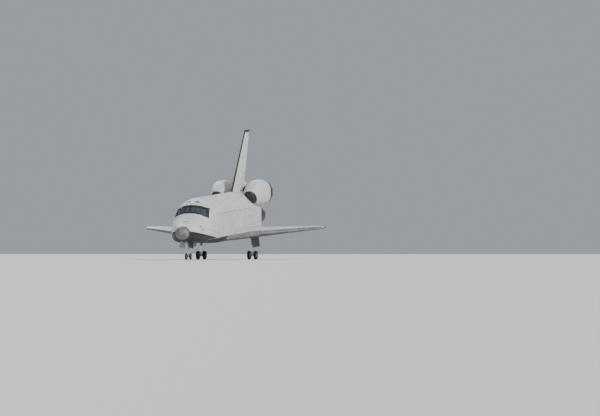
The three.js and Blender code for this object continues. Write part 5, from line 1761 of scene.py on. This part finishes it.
def makeMainDoors():
    (front, back), outer = within(mainWell["stations"], 1), mainWell["sides"][1]
    top, knee, low = gearDoor["top"], gearDoor["knee"], gearDoor["low"]
    inner, flush, foot = outer - gearDoor["thick"], outer - skin["gap"], outer + gearDoor["spread"]
    outline = [(inner, top), (flush, top), (flush, knee), (foot, low), (foot - gearDoor["footThick"], low),
               (inner, knee)]
    for tag, hand in hands.items():
        rings = [[at(station, hand * out, height) for out, height in outline] for station in (front, back)]

        def onDoor(station, height):
            lean = gearDoor["lean"] * (knee - height) / (knee - low)
            return at(station, hand * (outer - gearDoor["inside"] + lean), height)

        ribs = [[onDoor(station, height) for height in (228.5, 240, 255, 272)]
                for station in range(front + 7, back, 20)]
        ribs += [[onDoor(station, height) for station in (front + 7, back - 7)]
                 for height in (229, 243, 258, 272)]
        settled(paintedDoor("mainDoor_" + tag, rings, hand, ribs, 0.8), "main_gear_door_" + tag)


# The nose doors follow the belly, so their places are distances out and down from it
def makeNoseDoors():
    half, flush = noseWell["half"], noseWell["half"] - skin["gap"]
    front, back = within(noseWell["stations"], 1)
    stations = [front, *range(300, 390, 10), back]
    outline = [(half - 2.2, -6), (flush, -6), (flush, 1), (half + 4, 28), (half + 2.2, 28), (half - 2.2, 1)]
    for tag, hand in hands.items():
        def onDoor(station, out, down):
            return at(station, hand * out, tableAt(noseRows, station)[4] - down)

        def onInside(station, down):
            return onDoor(station, half - 2.3 + gearDoor["lean"] * (down - 1) / 27, down)

        rings = [[onDoor(station, out, down) for out, down in outline] for station in stations]
        ribs = [[onInside(station, down) for down in (3, 10, 18, 26.5)] for station in range(299, 390, 14)]
        ribs += [[onInside(station, down) for station in stations[1:-1]] for down in (3, 14.5, 26.5)]
        settled(paintedDoor("noseDoor_" + tag, rings, hand, ribs, 0.55), "nose_gear_door_" + tag)


def makeUmbilicalDoors():
    height, middle, half = umbilical["hingeHeight"], umbilical["hinge"], umbilical["half"] + hinge["gap"]
    for tag, hand in hands.items():
        inner = hand * umbilical["sides"][0]
        door = aftHull("umbilicalSkin", *umbilical["skin"], 0, materials["black"])
        cut(door, [aftHull("umbilicalInside", *umbilical["inside"], -umbilical["wall"])])
        cut(door, [umbilicalRoom("umbilicalSide", hand, 0)], "INTERSECT")
        cut(door, [longBar("eyeRoom", (middle - half, middle + half), inner, height, umbilical["eyeRoom"])])
        feet = (inner, inner + hand * umbilical["foot"])
        cut(door, lugPair(middle, umbilical["half"], umbilical["reach"], inner, height, umbilical["eye"],
                          feet, (height, umbilical["footTop"])), "UNION")
        ribs = [[at(station, hand * side, umbilical["ribHeight"]) for side in umbilical["ribSides"]]
                for station in umbilical["ribs"]]
        door = joinedPiece("umbilicalDoor_" + tag,
                           [door, pipes("umbilicalRibs", ribs, 0.5, materials["gear"], 8)])
        settled(door, "umbilical_door_" + tag)


tileTurn = math.pi / 4
materials = {
    "body": skinMaterial("bodySkin", bodyBlack, bodyBlanket, tileTurn),
    "door": skinMaterial("doorSkin", 0.0, bodyBlanket),
    "wing": skinMaterial("wingSkin", wingBlack, bodyBlanket, tileTurn),
    "pod": skinMaterial("podSkin", podBlack), "fin": skinMaterial("finSkin", finBlack),
    "white": skinMaterial("whiteSkin", 0.0), "black": skinMaterial("blackSkin", 1.0, None, tileTurn),
    "carbon": carbonMaterial(), "bell": bellMaterial(),
    "gear": gearMaterial("gearPaint", (0.62, 0.63, 0.62, 1), (0.22, 0.20, 0.17, 1), 0.0, 0.3),
    "rim": gearMaterial("rimMetal", (0.50, 0.50, 0.49, 1), (0.16, 0.15, 0.13, 1), 0.85, 0.22),
    "chrome": gearMaterial("pistonMetal", (0.72, 0.72, 0.74, 1), (0.50, 0.48, 0.45, 1), 1.0, 0.06),
    "cabin": gearMaterial("cabinPaint", (0.16, 0.18, 0.19, 1), (0.08, 0.08, 0.08, 1), 0.0, 0.5),
    "rubber": rubberMaterial(), "glass": glassMaterial(), "shield": skinMaterial("shieldSkin", 1.0),
    "port": gearMaterial("portMetal", (0.045, 0.042, 0.04, 1), (0.12, 0.10, 0.085, 1), 0.6, 0.4),
    "well": gearMaterial("wellPaint", (0.50, 0.52, 0.47, 1), (0.20, 0.19, 0.16, 1), 0.0, 0.5),
    "joint": gearMaterial("jointFiller", (0.05, 0.05, 0.05, 1), (0.12, 0.115, 0.11, 1), 0.0, 0.6),
    "radiator": gearMaterial("radiatorFoil", (0.70, 0.71, 0.72, 1), (0.55, 0.55, 0.55, 1), 0.9, 0.15)}
print("stage: materials made")

makers = {
    "nose": (makeNose, makeHatch), "payload bay": (makeMid, makeBayDoors), "wings": (makeWings,),
    "tail": (makeAft, makeEngines, makePods, makeFin, makeFlap),
    "wheels and legs": (makeWheels, makeMainLegs, makeNoseLeg),
    "gear doors": (makeMainDoors, makeNoseDoors, makeUmbilicalDoors)}
for part, steps in makers.items():
    for step in steps:
        step()
    print("stage:", part, "shaped")

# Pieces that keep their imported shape: start of the name, look and width of the softened edges in metres
plainPieces = {"rudder_panel": ("fin", 0), "rudder_actuator_tube": ("rim", 0),
               "overhead_windows": ("glass", 0), "instrument_panel": ("cabin", 0.02),
               "crew_seat": ("cabin", 0.03)}
for node in sorted(nodes):
    if not nodes[node].hide_render:
        dressed(node, *next(look for start, look in plainPieces.items() if node.startswith(start)))
print("stage: packed pieces dressed")

# Plain pale floor, soft light and the camera far off at floor level
stage = {"floor": 1600, "floorTone": (0.62, 0.62, 0.61, 1), "floorRoughness": 0.8,
         "sky": (0.70, 0.76, 0.84, 1), "skyStrength": 0.5}
bpy.ops.mesh.primitive_plane_add(size=stage["floor"])
floor = bpy.context.object
floor.name = "floor"
floorLook = bpy.data.materials.new("floorPaint")
floorLook.use_nodes = True
floor.data.materials.append(painted(floorLook, stage["floorTone"], stage["floorRoughness"]))

world = bpy.data.worlds.new("studio")
bpy.context.scene.world = world
world.use_nodes = True
sky = world.node_tree.nodes["Background"].inputs
sky[0].default_value, sky[1].default_value = stage["sky"], stage["skyStrength"]
# name, where it shines from, how wide it is in degrees, and strength
lamps = [("keyLight", (2.5, 6, 4.5), 14, 3.1), ("fillLight", (6, -5, 2.5), 50, 0.7),
         ("rimLight", (-6, -3, 4), 25, 1.6)]
for name, place, width, strength in lamps:
    light = bpy.data.lights.new(name, "SUN")
    light.angle, light.energy = math.radians(width), strength
    lamp = linked(name, light)
    lamp.rotation_mode = "QUATERNION"
    lamp.rotation_quaternion = (-Vector(place)).to_track_quat("-Z", "Y")

# The photograph's frame: the metres it spans at the craft, and the pixel at which the body's middle lies
view = {"azimuth": 104, "distance": 600, "span": 78.4, "frame": (600, 416), "spot": (223.2, 232.8),
        "rise": 1.2, "middle": (1100, 0, 300), "sensor": 36, "clip": (10, 3000)}
azimuth = math.radians(view["azimuth"])
back = Vector((math.sin(azimuth), -math.cos(azimuth), 0))
aim = at(*view["middle"])
place = aim + back * view["distance"]
place.z = view["rise"]
cameraData = bpy.data.cameras.new("camera")
cameraData.sensor_width = view["sensor"]
cameraData.lens = view["sensor"] * view["distance"] / view["span"]
cameraData.clip_start, cameraData.clip_end = view["clip"]
camera = linked("camera", cameraData)
camera.location = place
metresPerPixel = view["span"] / view["frame"][0]
right = (aim - place).cross(Vector((0, 0, 1))).normalized()
centre = aim - right * (view["spot"][0] - view["frame"][0] / 2) * metresPerPixel
centre.z += (view["spot"][1] - view["frame"][1] / 2) * metresPerPixel
camera.rotation_mode = "QUATERNION"
camera.rotation_quaternion = (centre - place).to_track_quat("-Z", "Y")
bpy.context.scene.camera = camera
bpy.context.scene.view_settings.view_transform = "AgX"
print("stage: studio set")
